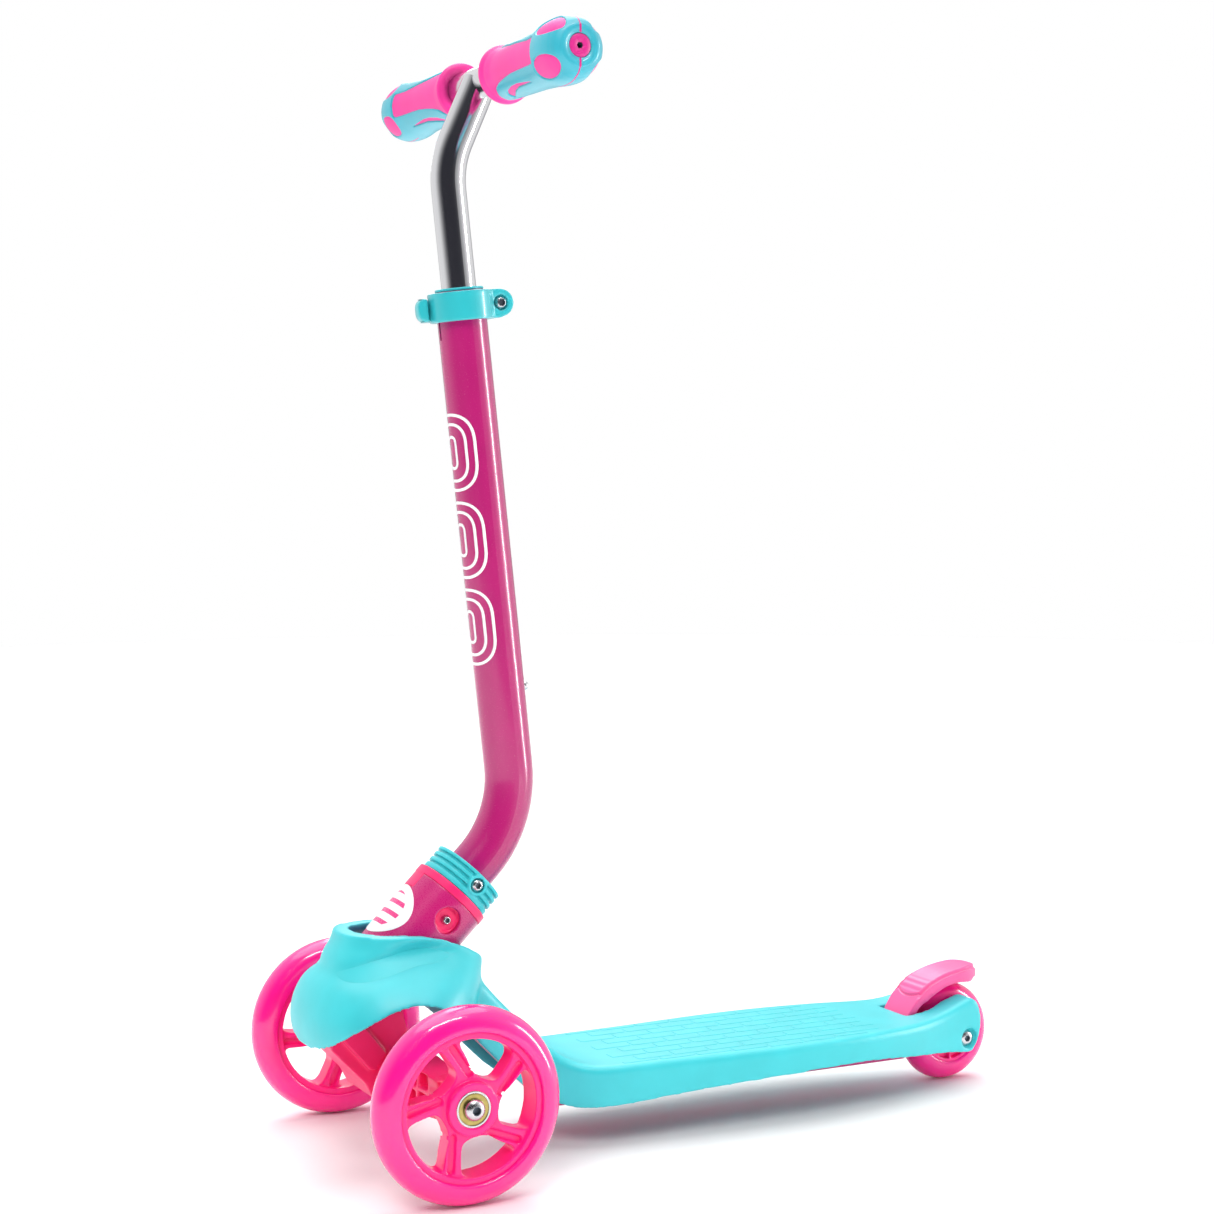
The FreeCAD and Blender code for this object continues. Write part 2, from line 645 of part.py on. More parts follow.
def clamp_lever():
    """Cam lever that wraps round the right of the stem to its front."""
    outer = [
        (-23.6, 25.0), (-26.8, 14.0), (-27.4, 2.0), (-25.2, -9.6),
        (-19.6, -19.6), (-10.6, -26.2), (0.0, -27.8),
    ]
    inner = [
        (1.6, -22.4), (-5.0, -22.3), (-12.6, -19.0), (-18.8, -13.0),
        (-22.4, -4.0), (-23.2, 6.0), (-21.6, 14.0), (-17.0, 17.7),
    ]
    bolt_room = [(-8, 9), (12, 9), (12, -4), (0, -4), (-4, 0)]
    low = clamp_w[0] + 1.2
    high = clamp_w[1] - 2.6
    edges = []
    for outline in (outer, inner):
        curve = Part.BSplineCurve()
        curve.interpolate([stem_point(low, x, d) for x, d in outline])
        edges.append(curve.toShape())
    edges.append(Part.makeLine(stem_point(low, *outer[-1]), stem_point(low, *inner[0])))
    edges.append(Part.makeLine(stem_point(low, *inner[-1]), stem_point(low, *outer[0])))
    arm = Part.Face(Part.Wire(Part.__sortEdges__(edges))).extrude(stem_dir * (high - low))
    body = fuse([arm, pin_cyl(low, high, 6.6)]).cut(pin_cyl(0, 40, 3.25))
    points = [stem_point(0, lever_pin_x + dx, clamp_bolt_d + dd) for dx, dd in bolt_room]
    room = face(points).extrude(stem_dir * 45)
    return body.cut(pin_cyl(clamp_bolt_w - 4.0, clamp_bolt_w + 4.0, 7.5).common(room))


def stem_bush():
    sleeve = stem_cyl(-40.0, stem_top_w, stem_r - stem_wall)
    lip = stem_cyl(stem_top_w, stem_top_w + 1.9, stem_r - 0.4)
    return fuse([sleeve, lip]).cut(stem_cyl(-50, 60, tube_r + 0.06))


# --- handlebar ---------------------------------------------------------------------
def tbar_tube():
    upper = math.radians(tbar_upper_lean)
    upper_dir = V(0, math.sin(upper), math.cos(upper))
    top = V(0, tbar_joint_y, tbar_axis[1])
    slope_low = math.tan(lean)
    slope_up = math.tan(upper)
    z = (stem_ref[0] + slope_low * stem_ref[1] - top.y + slope_up * top.z) / (slope_low + slope_up)
    corner = V(0, top.y - (top.z - z) * slope_up, z)
    start, end, arc = bend_path(corner, V(stem_dir), upper_dir, tbar_bend_r)
    path = Part.Wire([Part.makeLine(stem_point(tbar_bottom_w), start), arc, Part.makeLine(end, top)])
    upright = pipe(path, tube_r)
    bore = pipe(path, tube_r - tube_wall)
    cross = x_cyl(-tbar_half, tbar_half, tbar_axis[0], tbar_axis[1], tube_r)
    hole = x_cyl(-tbar_half - 1, tbar_half + 1, tbar_axis[0], tbar_axis[1], tube_r - tube_wall)
    body = fuse([upright, cross]).cut(bore).cut(hole)
    body = body.cut(cyl(stem_point(button_w, 0, 5), stem_point(button_w, 0, 20), 3.4))
    return body


def tbar_guide():
    """Plastic sleeve that centres the foot of the handlebar tube in the stem."""
    sleeve = stem_cyl(tbar_bottom_w, tbar_bottom_w + 14.0, stem_r - stem_wall - 0.06)
    return sleeve.cut(stem_cyl(tbar_bottom_w - 1, tbar_bottom_w + 20.0, tube_r))


def snap_button():
    dome = stem_point(button_w, 0, stem_r + 1.0)
    return fuse([cyl(stem_point(button_w, 0, 7.0), dome, 3.1), Part.makeSphere(3.1, dome)])


def button_spring():
    """V-shaped leaf inside the handlebar tube."""
    rear = [(button_w - 5, 6.2), (button_w + 5, 6.2), (button_w + 5, 7.0), (button_w - 5, 7.0)]
    leaf = face([stem_point(w, -3.0, d) for w, d in rear]).extrude(V(6, 0, 0))
    arm_out = [(button_w + 4, 6.2), (button_w + 34, -0.4), (button_w + 34, 0.4), (button_w + 4, 7.0)]
    arm = face([stem_point(w, -3.0, d) for w, d in arm_out]).extrude(V(6, 0, 0))
    arm_back = [(button_w + 34, -0.4), (button_w - 4, -9.2), (button_w - 4, -8.4), (button_w + 34, 0.4)]
    back = face([stem_point(w, -3.0, d) for w, d in arm_back]).extrude(V(6, 0, 0))
    return fuse([leaf, arm, back])


def grip_core():
    start = grip_x[0]
    profile = [
        (start, tube_r), (start, 17.2), (start + 1.5, 18.2), (start + 3.2, 17.6),
        (start + 5.0, 15.2), (60, 15.3), (94, 15.9), (113, 16.8), (122, 16.8),
        (128, 15.8), (133.5, 13.0), (133.5, tube_r),
    ]
    return revolve(profile, V(0, *tbar_axis), X_AXIS, V(0, 0, 1))


def grip_cover():
    """Soft overmould: bulb at the end, a tongue above and below towards the middle."""
    end = grip_x[1]
    profile = [
        (44, 15.25), (44, 15.9), (52, 16.5), (84, 17.1), (102, 18.2), (115, 19.7),
        (124, 19.9), (132, 18.6), (137, 16.2), (end, 12.0), (end, 7.0),
        (135.7, 7.0), (135.7, 11.6), (133.5, 13.0), (128, 15.8), (122, 16.8),
        (113, 16.8), (94, 15.9), (60, 15.3),
    ]
    cover = revolve(profile, V(0, *tbar_axis), X_AXIS, V(0, 0, 1))
    for side in (-1, 1):
        slot = Part.makeBox(74, 16, 16, V(36, -8, 8))
        slot.rotate(V(0, 0, 0), X_AXIS, side * 87.0)
        slot.translate(V(0, *tbar_axis))
        cover = cover.cut(slot)
        for angle in (44.0, 128.0):
            middle = Part.makeBox(10, 14, 16, V(119, -7, 10))
            rounds = [Part.makeCylinder(7.0, 16, V(x, 0, 10), V(0, 0, 1)) for x in (119, 129)]
            oval = fuse(rounds + [middle])
            oval.rotate(V(0, 0, 0), X_AXIS, side * angle)
            oval.translate(V(0, *tbar_axis))
            cover = cover.cut(oval)
    return max(cover.Solids, key=lambda part: part.Volume)


def end_cap():
    """Plug in the end of the handlebar, with its small centre hole."""
    plug = x_cyl(135.7, grip_x[1] - 0.6, tbar_axis[0], tbar_axis[1], 7.0)
    stub = x_cyl(122.0, 135.7, tbar_axis[0], tbar_axis[1], tube_r - tube_wall)
    return fuse([plug, stub]).cut(x_cyl(132.0, grip_x[1] + 1, tbar_axis[0], tbar_axis[1], 1.4))


# --- rear brake -------------------------------------------------------------------
def curved_plate(curves, x0, x1):
    """Solid from x0 to x1 whose side outline is a chain of smooth (y, z) curves."""
    edges = [spline_edge(points, x0) for points in curves]
    edges.append(Part.makeLine(V(x0, *curves[-1][-1]), V(x0, *curves[0][0])))
    return Part.Face(Part.Wire(Part.__sortEdges__(edges))).extrude(V(x1 - x0, 0, 0))


def brake_pedal():
    """Curved plate over the wheel with a thick rounded end, hinged on the pin."""
    top = [
        (377.5, 38), (380.3, 50.9), (387.6, 61.5), (394.2, 68.2), (400.9, 72.7),
        (414.4, 78.0), (428.1, 80.6), (438, 81.6), (443.5, 81.0),
    ]
    end = [(443.5, 81.0), (447.2, 77.0), (444.6, 73.4)]
    under = [
        (444.6, 73.4), (436.5, 73.8), (423, 74.8), (411, 72.4), (401, 67.5),
        (392.5, 60.5), (387, 50), (383.5, 40),
    ]
    body = curved_plate([top, end, under], -brake_half, brake_half)
    root = Part.makeBox(60, 30, 60, V(brake_half - 5.0, 364, -14.0))
    body = body.cut(root).cut(mirrored(root))
    plan = [
        (360, 15.2), (388, 15.6), (394, 16.2), (405, 17), (425, 17), (432.4, 16),
        (438, 13.7), (442, 10.8), (445, 7.1), (447.4, 3.2),
    ]
    body = body.common(plan_plate(plan, 0.0, 0, 120))
    reach = [(362, 37.5), (370, 36.5), (384, 40), (384, 47), (373, 46.5), (364, 46.5)]
    barrel = x_cyl(-11.0, 11.0, brake_pivot[0], brake_pivot[1], 5.2)
    body = fuse([body, side_plate(reach, -11.0, 11.0), barrel])
    room = x_cyl(-4.5, 4.5, brake_pivot[0], brake_pivot[1], 6.2)
    return body.cut(room).cut(x_cyl(-20, 20, brake_pivot[0], brake_pivot[1], 2.55))


def brake_pad():
    """Thin wear plate under the pedal."""
    outline = [(416, 74.5), (424, 76.0), (434, 75.4), (434, 73.3), (424, 74.0), (416, 72.6)]
    plate = side_plate(outline, -7.0, 7.0)
    return plate.cut(brake_pedal())


def brake_spring():
    """Torsion spring round the brake pin."""
    return ring(V(-4.2, *brake_pivot), V(4.2, *brake_pivot), 4.4, 2.9)


# --- rear axle --------------------------------------------------------------------
def rear_axle():
    profile = [(0, 0), (0, 5.6), (1.6, 5.4), (2.6, 4.2), (2.6, 0)]
    head = revolve(profile, V(28.5, wheelbase, rear_wheel_r), X_AXIS, V(0, 0, 1))
    shank = x_cyl(-32.0, 28.5, wheelbase, rear_wheel_r, axle_r)
    return fuse([head, shank]).cut(x_cyl(29.6, 33, wheelbase, rear_wheel_r, 2.6))


def rear_axle_nut():
    return ring(V(-32.0, wheelbase, rear_wheel_r), V(-28.5, wheelbase, rear_wheel_r), 6.0, axle_r)


def rear_spacer():
    inner = rear_wheel_w / 2.0 - 0.95
    return ring(V(inner, wheelbase, rear_wheel_r), V(cheek_gap, wheelbase, rear_wheel_r), 5.6, 4.0)


# --- save every piece -----------------------------------------------------------
os.makedirs("parts", exist_ok=True)

left_core = front_core(front_seat_r, 0.0)
right_core = front_core(front_seat_r, wheel_phase).mirror(V(0, 0, 0), V(0, 1, 0))
left_hub = V(front_wheel_x, 0, front_wheel_r)
right_hub = V(-front_wheel_x, 0, front_wheel_r)
rear_hub = V(0, wheelbase, rear_wheel_r)
wheel("wheel_left", front_wheel_r, front_wheel_w, front_seat_r, left_core, left_hub)
wheel("wheel_right", front_wheel_r, front_wheel_w, front_seat_r, right_core, right_hub)
wheel("wheel_rear", rear_wheel_r, rear_wheel_w, rear_seat_r, rear_core(rear_seat_r), rear_hub)

single = {
    "frame_rail": frame_rail(),
    "head_tube": head_tube(),
    "deck_hood": deck_hood(),
    "upper_bush": upper_bush(),
    "lower_bush": lower_bush(),
    "head_badge": head_badge(),
    "deck_screw_1": deck_screw(deck_screw_y[0]),
    "deck_screw_2": deck_screw(deck_screw_y[1]),
    "rear_axle": rear_axle(),
    "rear_axle_nut": rear_axle_nut(),
    "brake_pin": x_cyl(-20.0, 20.0, brake_pivot[0], brake_pivot[1], 2.5),
    "brake_spring": brake_spring(),
    "brake_pedal": brake_pedal(),
    "brake_pad": brake_pad(),
    "stem_tube": stem_tube(),
    "stem_collar": stem_collar(),
    "truck": truck(),
    "truck_bolt": truck_bolt(),
    "truck_nut": truck_nut(),
    "clamp_band": clamp_band(),
    "clamp_bolt": clamp_bolt(),
    "lever_pin": lever_pin(),
    "clamp_lever": clamp_lever(),
    "stem_bush": stem_bush(),
    "tbar_tube": tbar_tube(),
    "tbar_guide": tbar_guide(),
    "snap_button": snap_button(),
    "button_spring": button_spring(),
}
for name, shape in single.items():
    save(name, shape)

paired = {
    "bush_screw": bush_screw(),
    "rear_spacer": rear_spacer(),
    "collar_screw": collar_screw(),
    "axle_bolt": axle_bolt(),
    "grip_core": grip_core(),
    "grip_cover": grip_cover(),
    "end_cap": end_cap(),
}
for name, shape in paired.items():
    save(name + "_left", shape)
    save(name + "_right", mirrored(shape))
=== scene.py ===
import json
import math

import bmesh
import bpy
import numpy as np
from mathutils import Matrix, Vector


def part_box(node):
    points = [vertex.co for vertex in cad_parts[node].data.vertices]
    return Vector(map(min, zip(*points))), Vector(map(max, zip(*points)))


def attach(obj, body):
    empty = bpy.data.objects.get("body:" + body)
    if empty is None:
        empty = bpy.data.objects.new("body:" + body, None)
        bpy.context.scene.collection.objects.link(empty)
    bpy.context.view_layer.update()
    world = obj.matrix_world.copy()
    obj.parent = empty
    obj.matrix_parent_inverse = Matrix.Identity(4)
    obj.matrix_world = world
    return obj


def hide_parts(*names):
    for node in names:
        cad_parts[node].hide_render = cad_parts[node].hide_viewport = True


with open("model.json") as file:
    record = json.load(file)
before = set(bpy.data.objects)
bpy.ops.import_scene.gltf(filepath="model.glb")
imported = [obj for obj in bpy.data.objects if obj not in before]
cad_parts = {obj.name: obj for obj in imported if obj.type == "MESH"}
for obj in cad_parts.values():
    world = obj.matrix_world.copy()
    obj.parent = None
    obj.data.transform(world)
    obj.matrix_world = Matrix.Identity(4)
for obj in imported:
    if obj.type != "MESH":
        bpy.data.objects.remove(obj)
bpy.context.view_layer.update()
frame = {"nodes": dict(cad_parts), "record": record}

# Three-wheeled kick scooter. Sizes in the helpers are millimetres in the drawing
# frame, whose front axle is at y = 0; mm() turns them into metres in the row frame.
FRONT_AXLE_Z = 60.0                # also the radius of the front wheels
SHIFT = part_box("wheel_left_tyre")[0].y * 1000.0 + FRONT_AXLE_Z
HEAD_OFFSET = 128.1                # where the 45 degree steering axis crosses y + z
STEM_LEAN = math.radians(6.24)
STEM_FOOT = (48.2, 519.0)          # (y, z) that heights along the stem count from
STEM_R = 15.9
BAR_AXIS = (62.0, 682.0)           # (y, z) of the crossbar
REAR_AXLE = (420.8, 35.0)          # (y, z), z is also the radius of the rear wheel
DECK_TOP_Z = 53.0
BADGE_S = 109.0                    # middle of the round sticker on the steering axis
BADGE_FRONT = -26.4
ROOT = math.sqrt(0.5)
X = Vector((1, 0, 0))
Y = Vector((0, 1, 0))
Z = Vector((0, 0, 1))


def mm(x, y, z):
    return Vector((x / 1000.0, (y + SHIFT) / 1000.0, z / 1000.0))


def head(s, x=0.0, t=0.0):
    """Point s up the steering axis, x across, t square to it and rearward."""
    y = -HEAD_OFFSET / 2.0 + (s + t) * ROOT
    z = HEAD_OFFSET / 2.0 + (s - t) * ROOT
    return mm(x, y, z)


def stem(w, x=0.0, d=0.0):
    """Point w up the stem from its reference, x across, d to the rear."""
    y = STEM_FOOT[0] - w * math.sin(STEM_LEAN) + d * math.cos(STEM_LEAN)
    z = STEM_FOOT[1] + w * math.cos(STEM_LEAN) + d * math.sin(STEM_LEAN)
    return mm(x, y, z)


# --- materials ---------------------------------------------------------------
def add(nodes, kind, **values):
    node = nodes.new(kind)
    for key, value in values.items():
        if key in node.inputs:
            node.inputs[key].default_value = value
        else:
            setattr(node, key, value)
    return node


def material(name, colour, rough, metal=0.0, coat=0.0, sss=0.0, mottle=0.06, mottle_scale=40.0,
             grain_scale=900.0, grain=0.08, rough_swing=0.08, stretch=(1, 1, 1), bevel=0.0):
    """Principled material whose colour, roughness and bump vary with noise."""
    mat = bpy.data.materials.new(name)
    mat.use_nodes = True
    mat.diffuse_color = (*colour, 1)
    nodes, links = mat.node_tree.nodes, mat.node_tree.links
    shader = nodes["Principled BSDF"]
    shader.inputs["Metallic"].default_value = metal
    shader.inputs["Coat Weight"].default_value = coat
    shader.inputs["Coat Roughness"].default_value = 0.08
    if sss:
        shader.inputs["Subsurface Weight"].default_value = sss
        shader.inputs["Subsurface Radius"].default_value = (1.0, 0.45, 0.6)
        shader.inputs["Subsurface Scale"].default_value = 0.004
    coord = add(nodes, "ShaderNodeTexCoord")
    mapping = add(nodes, "ShaderNodeMapping", Scale=stretch)
    links.new(coord.outputs["Object"], mapping.inputs["Vector"])
    cloud = add(nodes, "ShaderNodeTexNoise", Scale=mottle_scale, Detail=3.0)
    fine = add(nodes, "ShaderNodeTexNoise", Scale=grain_scale, Detail=2.0)
    for node in (cloud, fine):
        links.new(mapping.outputs["Vector"], node.inputs["Vector"])
    ramp = add(nodes, "ShaderNodeValToRGB")
    low = tuple(c * (1 - mottle) for c in colour)
    high = tuple(min(1.0, c * (1 + mottle) + 0.01 * mottle) for c in colour)
    ramp.color_ramp.elements[0].position = 0.3
    ramp.color_ramp.elements[1].position = 0.7
    ramp.color_ramp.elements[0].color = (*low, 1)
    ramp.color_ramp.elements[1].color = (*high, 1)
    links.new(cloud.outputs["Fac"], ramp.inputs["Fac"])
    links.new(ramp.outputs["Color"], shader.inputs["Base Color"])
    spread = add(nodes, "ShaderNodeMapRange")
    spread.inputs["To Min"].default_value = max(0.02, rough - rough_swing / 2)
    spread.inputs["To Max"].default_value = rough + rough_swing / 2
    links.new(fine.outputs["Fac"], spread.inputs["Value"])
    links.new(spread.outputs["Result"], shader.inputs["Roughness"])
    bump = add(nodes, "ShaderNodeBump", Strength=grain, Distance=0.0002)
    links.new(fine.outputs["Fac"], bump.inputs["Height"])
    if bevel:
        edges = add(nodes, "ShaderNodeBevel", Radius=bevel, samples=4)
        links.new(edges.outputs["Normal"], bump.inputs["Normal"])
    links.new(bump.outputs["Normal"], shader.inputs["Normal"])
    return mat


TEAL = (0.042, 0.55, 0.60)
PINK = (0.96, 0.008, 0.26)
MAT = {
    "magenta_paint": material("magenta_paint", (0.52, 0.013, 0.155), 0.28, coat=0.3, mottle=0.03,
                              grain_scale=1500, grain=0.05, bevel=0.0006),
    # Darker copy of the magenta paint for the stem tube: painted shade, the same paint as the head tube made
    # darker.
    "stem_paint_painted_shade": material("stem_paint_painted_shade", (0.43, 0.011, 0.145), 0.26, coat=0.4, mottle=0.03,
                           grain_scale=1500, grain=0.04),
    "teal_plastic": material("teal_plastic", TEAL, 0.4, mottle=0.04, grain_scale=2200, grain=0.12, sss=0.06),
    # Darker copy of the teal plastic for the clamp band and lever: painted shade, the same plastic as the
    # deck made darker.
    "clamp_teal_painted_shade": material("clamp_teal_painted_shade", (0.03, 0.48, 0.53), 0.32, coat=0.4, mottle=0.04, grain_scale=2200,
                           grain=0.08),
    "crimson_plastic": material("crimson_plastic", (0.9, 0.016, 0.15), 0.38, mottle=0.05, grain_scale=1800,
                                grain=0.1),
    "pu_pink": material("pu_pink", PINK, 0.2, coat=0.6, sss=0.2, mottle=0.04, mottle_scale=25),
    "core_pink": material("core_pink", (0.96, 0.008, 0.22), 0.3, coat=0.15, mottle=0.05),
    "chrome": material("chrome", (0.66, 0.66, 0.68), 0.13, metal=1.0, mottle=0.03, grain_scale=260,
                       grain=0.01, rough_swing=0.06, stretch=(1, 1, 0.03)),
    "grip_pink": material("grip_pink", (0.9, 0.035, 0.32), 0.45, mottle=0.05, grain_scale=1400, grain=0.25),
    "cap_pink": material("cap_pink", (0.66, 0.02, 0.24), 0.4, mottle=0.05, grain_scale=1400, grain=0.2),
    "grip_teal": material("grip_teal", (0.04, 0.43, 0.54), 0.36, coat=0.2, mottle=0.05, grain_scale=1400,
                          grain=0.2),
    "brake_pink": material("brake_pink", (0.95, 0.10, 0.32), 0.36, mottle=0.05, grain_scale=1200, grain=0.12),
    "grey_elastomer": material("grey_elastomer", (0.05, 0.05, 0.055), 0.7, grain=0.3),
    "white_nylon": material("white_nylon", (0.75, 0.75, 0.72), 0.5),
    "zinc_steel": material("zinc_steel", (0.6, 0.6, 0.62), 0.26, metal=1.0, mottle=0.08, mottle_scale=300,
                           grain_scale=2500, grain=0.03, rough_swing=0.1),
    # Dark colour for the insides of hex sockets: painted shade in the recess, not a colour of the steel or
    # plastic.
    "socket_painted_shade": material("socket_painted_shade", (0.1, 0.12, 0.15), 0.4, metal=0.6, mottle=0.1),
    "shield_gold": material("shield_gold", (0.45, 0.36, 0.12), 0.3, metal=1.0, mottle=0.1, mottle_scale=400),
    "film_white": material("film_white", (0.9, 0.9, 0.92), 0.3, coat=0.4, mottle=0.02),
}


def badge_material():
    """White film with plain pink bars across it."""
    mat = material("white_film", (0.9, 0.9, 0.92), 0.28, coat=0.5, mottle=0.02)
    nodes, links = mat.node_tree.nodes, mat.node_tree.links
    bar_reach, bar_pitch, bar_gap = 0.0140, 0.0040, 0.0024
    upward = Vector((0, ROOT, ROOT))
    coord = add(nodes, "ShaderNodeTexCoord")
    along = add(nodes, "ShaderNodeVectorMath", operation="DOT_PRODUCT")
    along.inputs[1].default_value = upward
    links.new(coord.outputs["Object"], along.inputs[0])
    start = head(BADGE_S).dot(upward) - bar_reach
    shift = add(nodes, "ShaderNodeMath", operation="SUBTRACT")
    shift.inputs[1].default_value = start
    links.new(along.outputs["Value"], shift.inputs[0])
    wave = add(nodes, "ShaderNodeMath", operation="PINGPONG")
    wave.inputs[1].default_value = bar_pitch
    links.new(shift.outputs[0], wave.inputs[0])
    bar = add(nodes, "ShaderNodeMath", operation="GREATER_THAN")
    bar.inputs[1].default_value = bar_gap
    links.new(wave.outputs[0], bar.inputs[0])
    middle = add(nodes, "ShaderNodeVectorMath", operation="DISTANCE")
    middle.inputs[1].default_value = head(BADGE_S, 0, BADGE_FRONT)
    links.new(coord.outputs["Object"], middle.inputs[0])
    inside = add(nodes, "ShaderNodeMath", operation="LESS_THAN")
    inside.inputs[1].default_value = bar_reach
    links.new(middle.outputs["Value"], inside.inputs[0])
    both = add(nodes, "ShaderNodeMath", operation="MULTIPLY")
    links.new(bar.outputs[0], both.inputs[0])
    links.new(inside.outputs[0], both.inputs[1])
    mix = add(nodes, "ShaderNodeMix", data_type="RGBA")
    mix.inputs["A"].default_value = (0.9, 0.9, 0.92, 1)
    mix.inputs["B"].default_value = (0.75, 0.03, 0.22, 1)
    links.new(both.outputs[0], mix.inputs["Factor"])
    links.new(mix.outputs["Result"], nodes["Principled BSDF"].inputs["Base Color"])
    return mat


MAT["white_film"] = badge_material()
NODE_SLOT = {part["node"]: part["material_slot"] for part in frame["record"]["subparts"]}
NODE_BODY = {
    node: body
    for body, names in frame["record"]["behaviour"]["bodies"].items()
    for node in names
}


# --- mesh helpers ------------------------------------------------------------
def new_piece(name, mesh, node=None, body=None, mats=None, slot=None, smooth=True):
    """Link a mesh, shade it, let it ride, and let it stand for a CAD node."""
    obj = bpy.data.objects.new(name, mesh)
    bpy.context.scene.collection.objects.link(obj)
    if smooth:
        mesh.shade_smooth()
    slot = slot or NODE_SLOT.get(node)
    mesh.materials.clear()
    for mat in mats or [MAT[slot]]:
        mesh.materials.append(mat)
    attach(obj, body or NODE_BODY[node])
    if node:
        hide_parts(node)
    return obj


def rounded(profile, radius, steps):
    """The closed polyline with each corner turned into a short curve."""
    points = [Vector(p) for p in profile]
    count = len(points)
    out = []
    for i, p in enumerate(points):
        a, b = points[i - 1], points[(i + 1) % count]
        reach_a = min(radius, (a - p).length * 0.45)
        reach_b = min(radius, (b - p).length * 0.45)
        start = p + (a - p).normalized() * reach_a
        end = p + (b - p).normalized() * reach_b
        for k in range(steps + 1):
            u = k / steps
            out.append(start * (1 - u) ** 2 + p * 2 * u * (1 - u) + end * u * u)
    return out


def lathe(profile, centre, along, out, segments=128, hexed=()):
    """Turn a closed (distance along, radius) outline in mm about an axis.

    Outline points whose index is in hexed follow a hexagon, not a circle.
    """
    side = along.cross(out)
    bm = bmesh.new()
    rings = []
    for k in range(segments):
        angle = 2 * math.pi * k / segments
        arm = out * math.cos(angle) + side * math.sin(angle)
        six = 1.0 / math.cos((angle % (math.pi / 3)) - math.pi / 6)
        rings.append([
            bm.verts.new(centre + along * (p[0] / 1000) + arm * (p[1] * (six if i in hexed else 1.0) / 1000))
            for i, p in enumerate(profile)
        ])
    for k in range(segments):
        join_rings(bm, rings[k], rings[(k + 1) % segments])
    bmesh.ops.remove_doubles(bm, verts=bm.verts, dist=1e-7)
    bmesh.ops.dissolve_degenerate(bm, dist=1e-8, edges=bm.edges)
    return made(bm, "lathe")


def join_rings(bm, a, b):
    """Quads between two closed rings with as many points each."""
    n = len(a)
    for k in range(n):
        bm.faces.new((a[k], a[(k + 1) % n], b[(k + 1) % n], b[k]))


def made(bm, name):
    bmesh.ops.recalc_face_normals(bm, faces=bm.faces)
    mesh = bpy.data.meshes.new(name)
    bm.to_mesh(mesh)
    bm.free()
    return mesh


def coords(mesh):
    co = np.zeros(len(mesh.vertices) * 3)
    mesh.vertices.foreach_get("co", co)
    return co.reshape(-1, 3)


def normals_of(mesh):
    normals = np.zeros(len(mesh.vertices) * 3)
    mesh.vertices.foreach_get("normal", normals)
    return normals.reshape(-1, 3)


def set_coords(mesh, co):
    mesh.vertices.foreach_set("co", co.reshape(-1).astype(np.float32))
    mesh.update()


def drawing(co):
    """Row-frame metres to drawing-frame millimetres."""
    out = co * 1000.0
    out[:, 1] -= SHIFT
    return out


def undrawing(co):
    out = co.copy()
    out[:, 1] += SHIFT
    return out / 1000.0


def evaluated(obj):
    graph = bpy.context.evaluated_depsgraph_get()
    mesh = bpy.data.meshes.new_from_object(obj.evaluated_get(graph))
    bpy.data.objects.remove(obj)
    return mesh


def moulded(node, voxel, smooth, most_faces, sculpt=None, ease=None):
    """A copy of a CAD node with soft edges: remeshed fine, smoothed, shaped, eased where ease says.

    voxel is in mm, smooth counts the rounds of smoothing and most_faces is a limit on triangles.
    """
    source = frame["nodes"][node].data
    bm = bmesh.new()
    bm.from_mesh(source)
    bmesh.ops.remove_doubles(bm, verts=bm.verts, dist=2e-6)
    mesh = bpy.data.meshes.new(node + "_soft")
    bm.to_mesh(mesh)
    bm.free()
    obj = bpy.data.objects.new(node + "_soft", mesh)
    bpy.context.scene.collection.objects.link(obj)
    remesh = obj.modifiers.new("remesh", "REMESH")
    remesh.mode = "VOXEL"
    remesh.voxel_size = voxel / 1000.0
    relax = obj.modifiers.new("relax", "SMOOTH")
    relax.factor = 0.5
    relax.iterations = smooth
    mesh = evaluated(obj)
    if sculpt:
        set_coords(mesh, undrawing(sculpt(drawing(coords(mesh)), mesh)))
    if ease:
        weights, turns = ease(drawing(coords(mesh)))
        obj = bpy.data.objects.new("ease", mesh)
        bpy.context.scene.collection.objects.link(obj)
        group = obj.vertex_groups.new(name="ease")
        for level in (0.25, 0.5, 0.75, 1.0):
            chosen = np.nonzero(np.abs(weights - level) <= 0.125)[0]
            group.add(chosen.tolist(), level, "REPLACE")
        blend = obj.modifiers.new("blend", "SMOOTH")
        blend.vertex_group = "ease"
        blend.factor = 0.5
        blend.iterations = turns
        mesh = evaluated(obj)
    triangles = 2 * len(mesh.polygons)
    if triangles > most_faces:
        obj = bpy.data.objects.new("thin", mesh)
        bpy.context.scene.collection.objects.link(obj)
        thin = obj.modifiers.new("thin", "DECIMATE")
        thin.ratio = most_faces / triangles
        mesh = evaluated(obj)
    return mesh


def soft(node, voxel, smooth, most_faces, sculpt=None, ease=None):
    return new_piece(node + "_part", moulded(node, voxel, smooth, most_faces, sculpt, ease), node)


def step(value, low, high):
    """Smooth rise from 0 at low to 1 at high."""
    t = np.clip((value - low) / (high - low), 0, 1)
    return t * t * (3 - 2 * t)


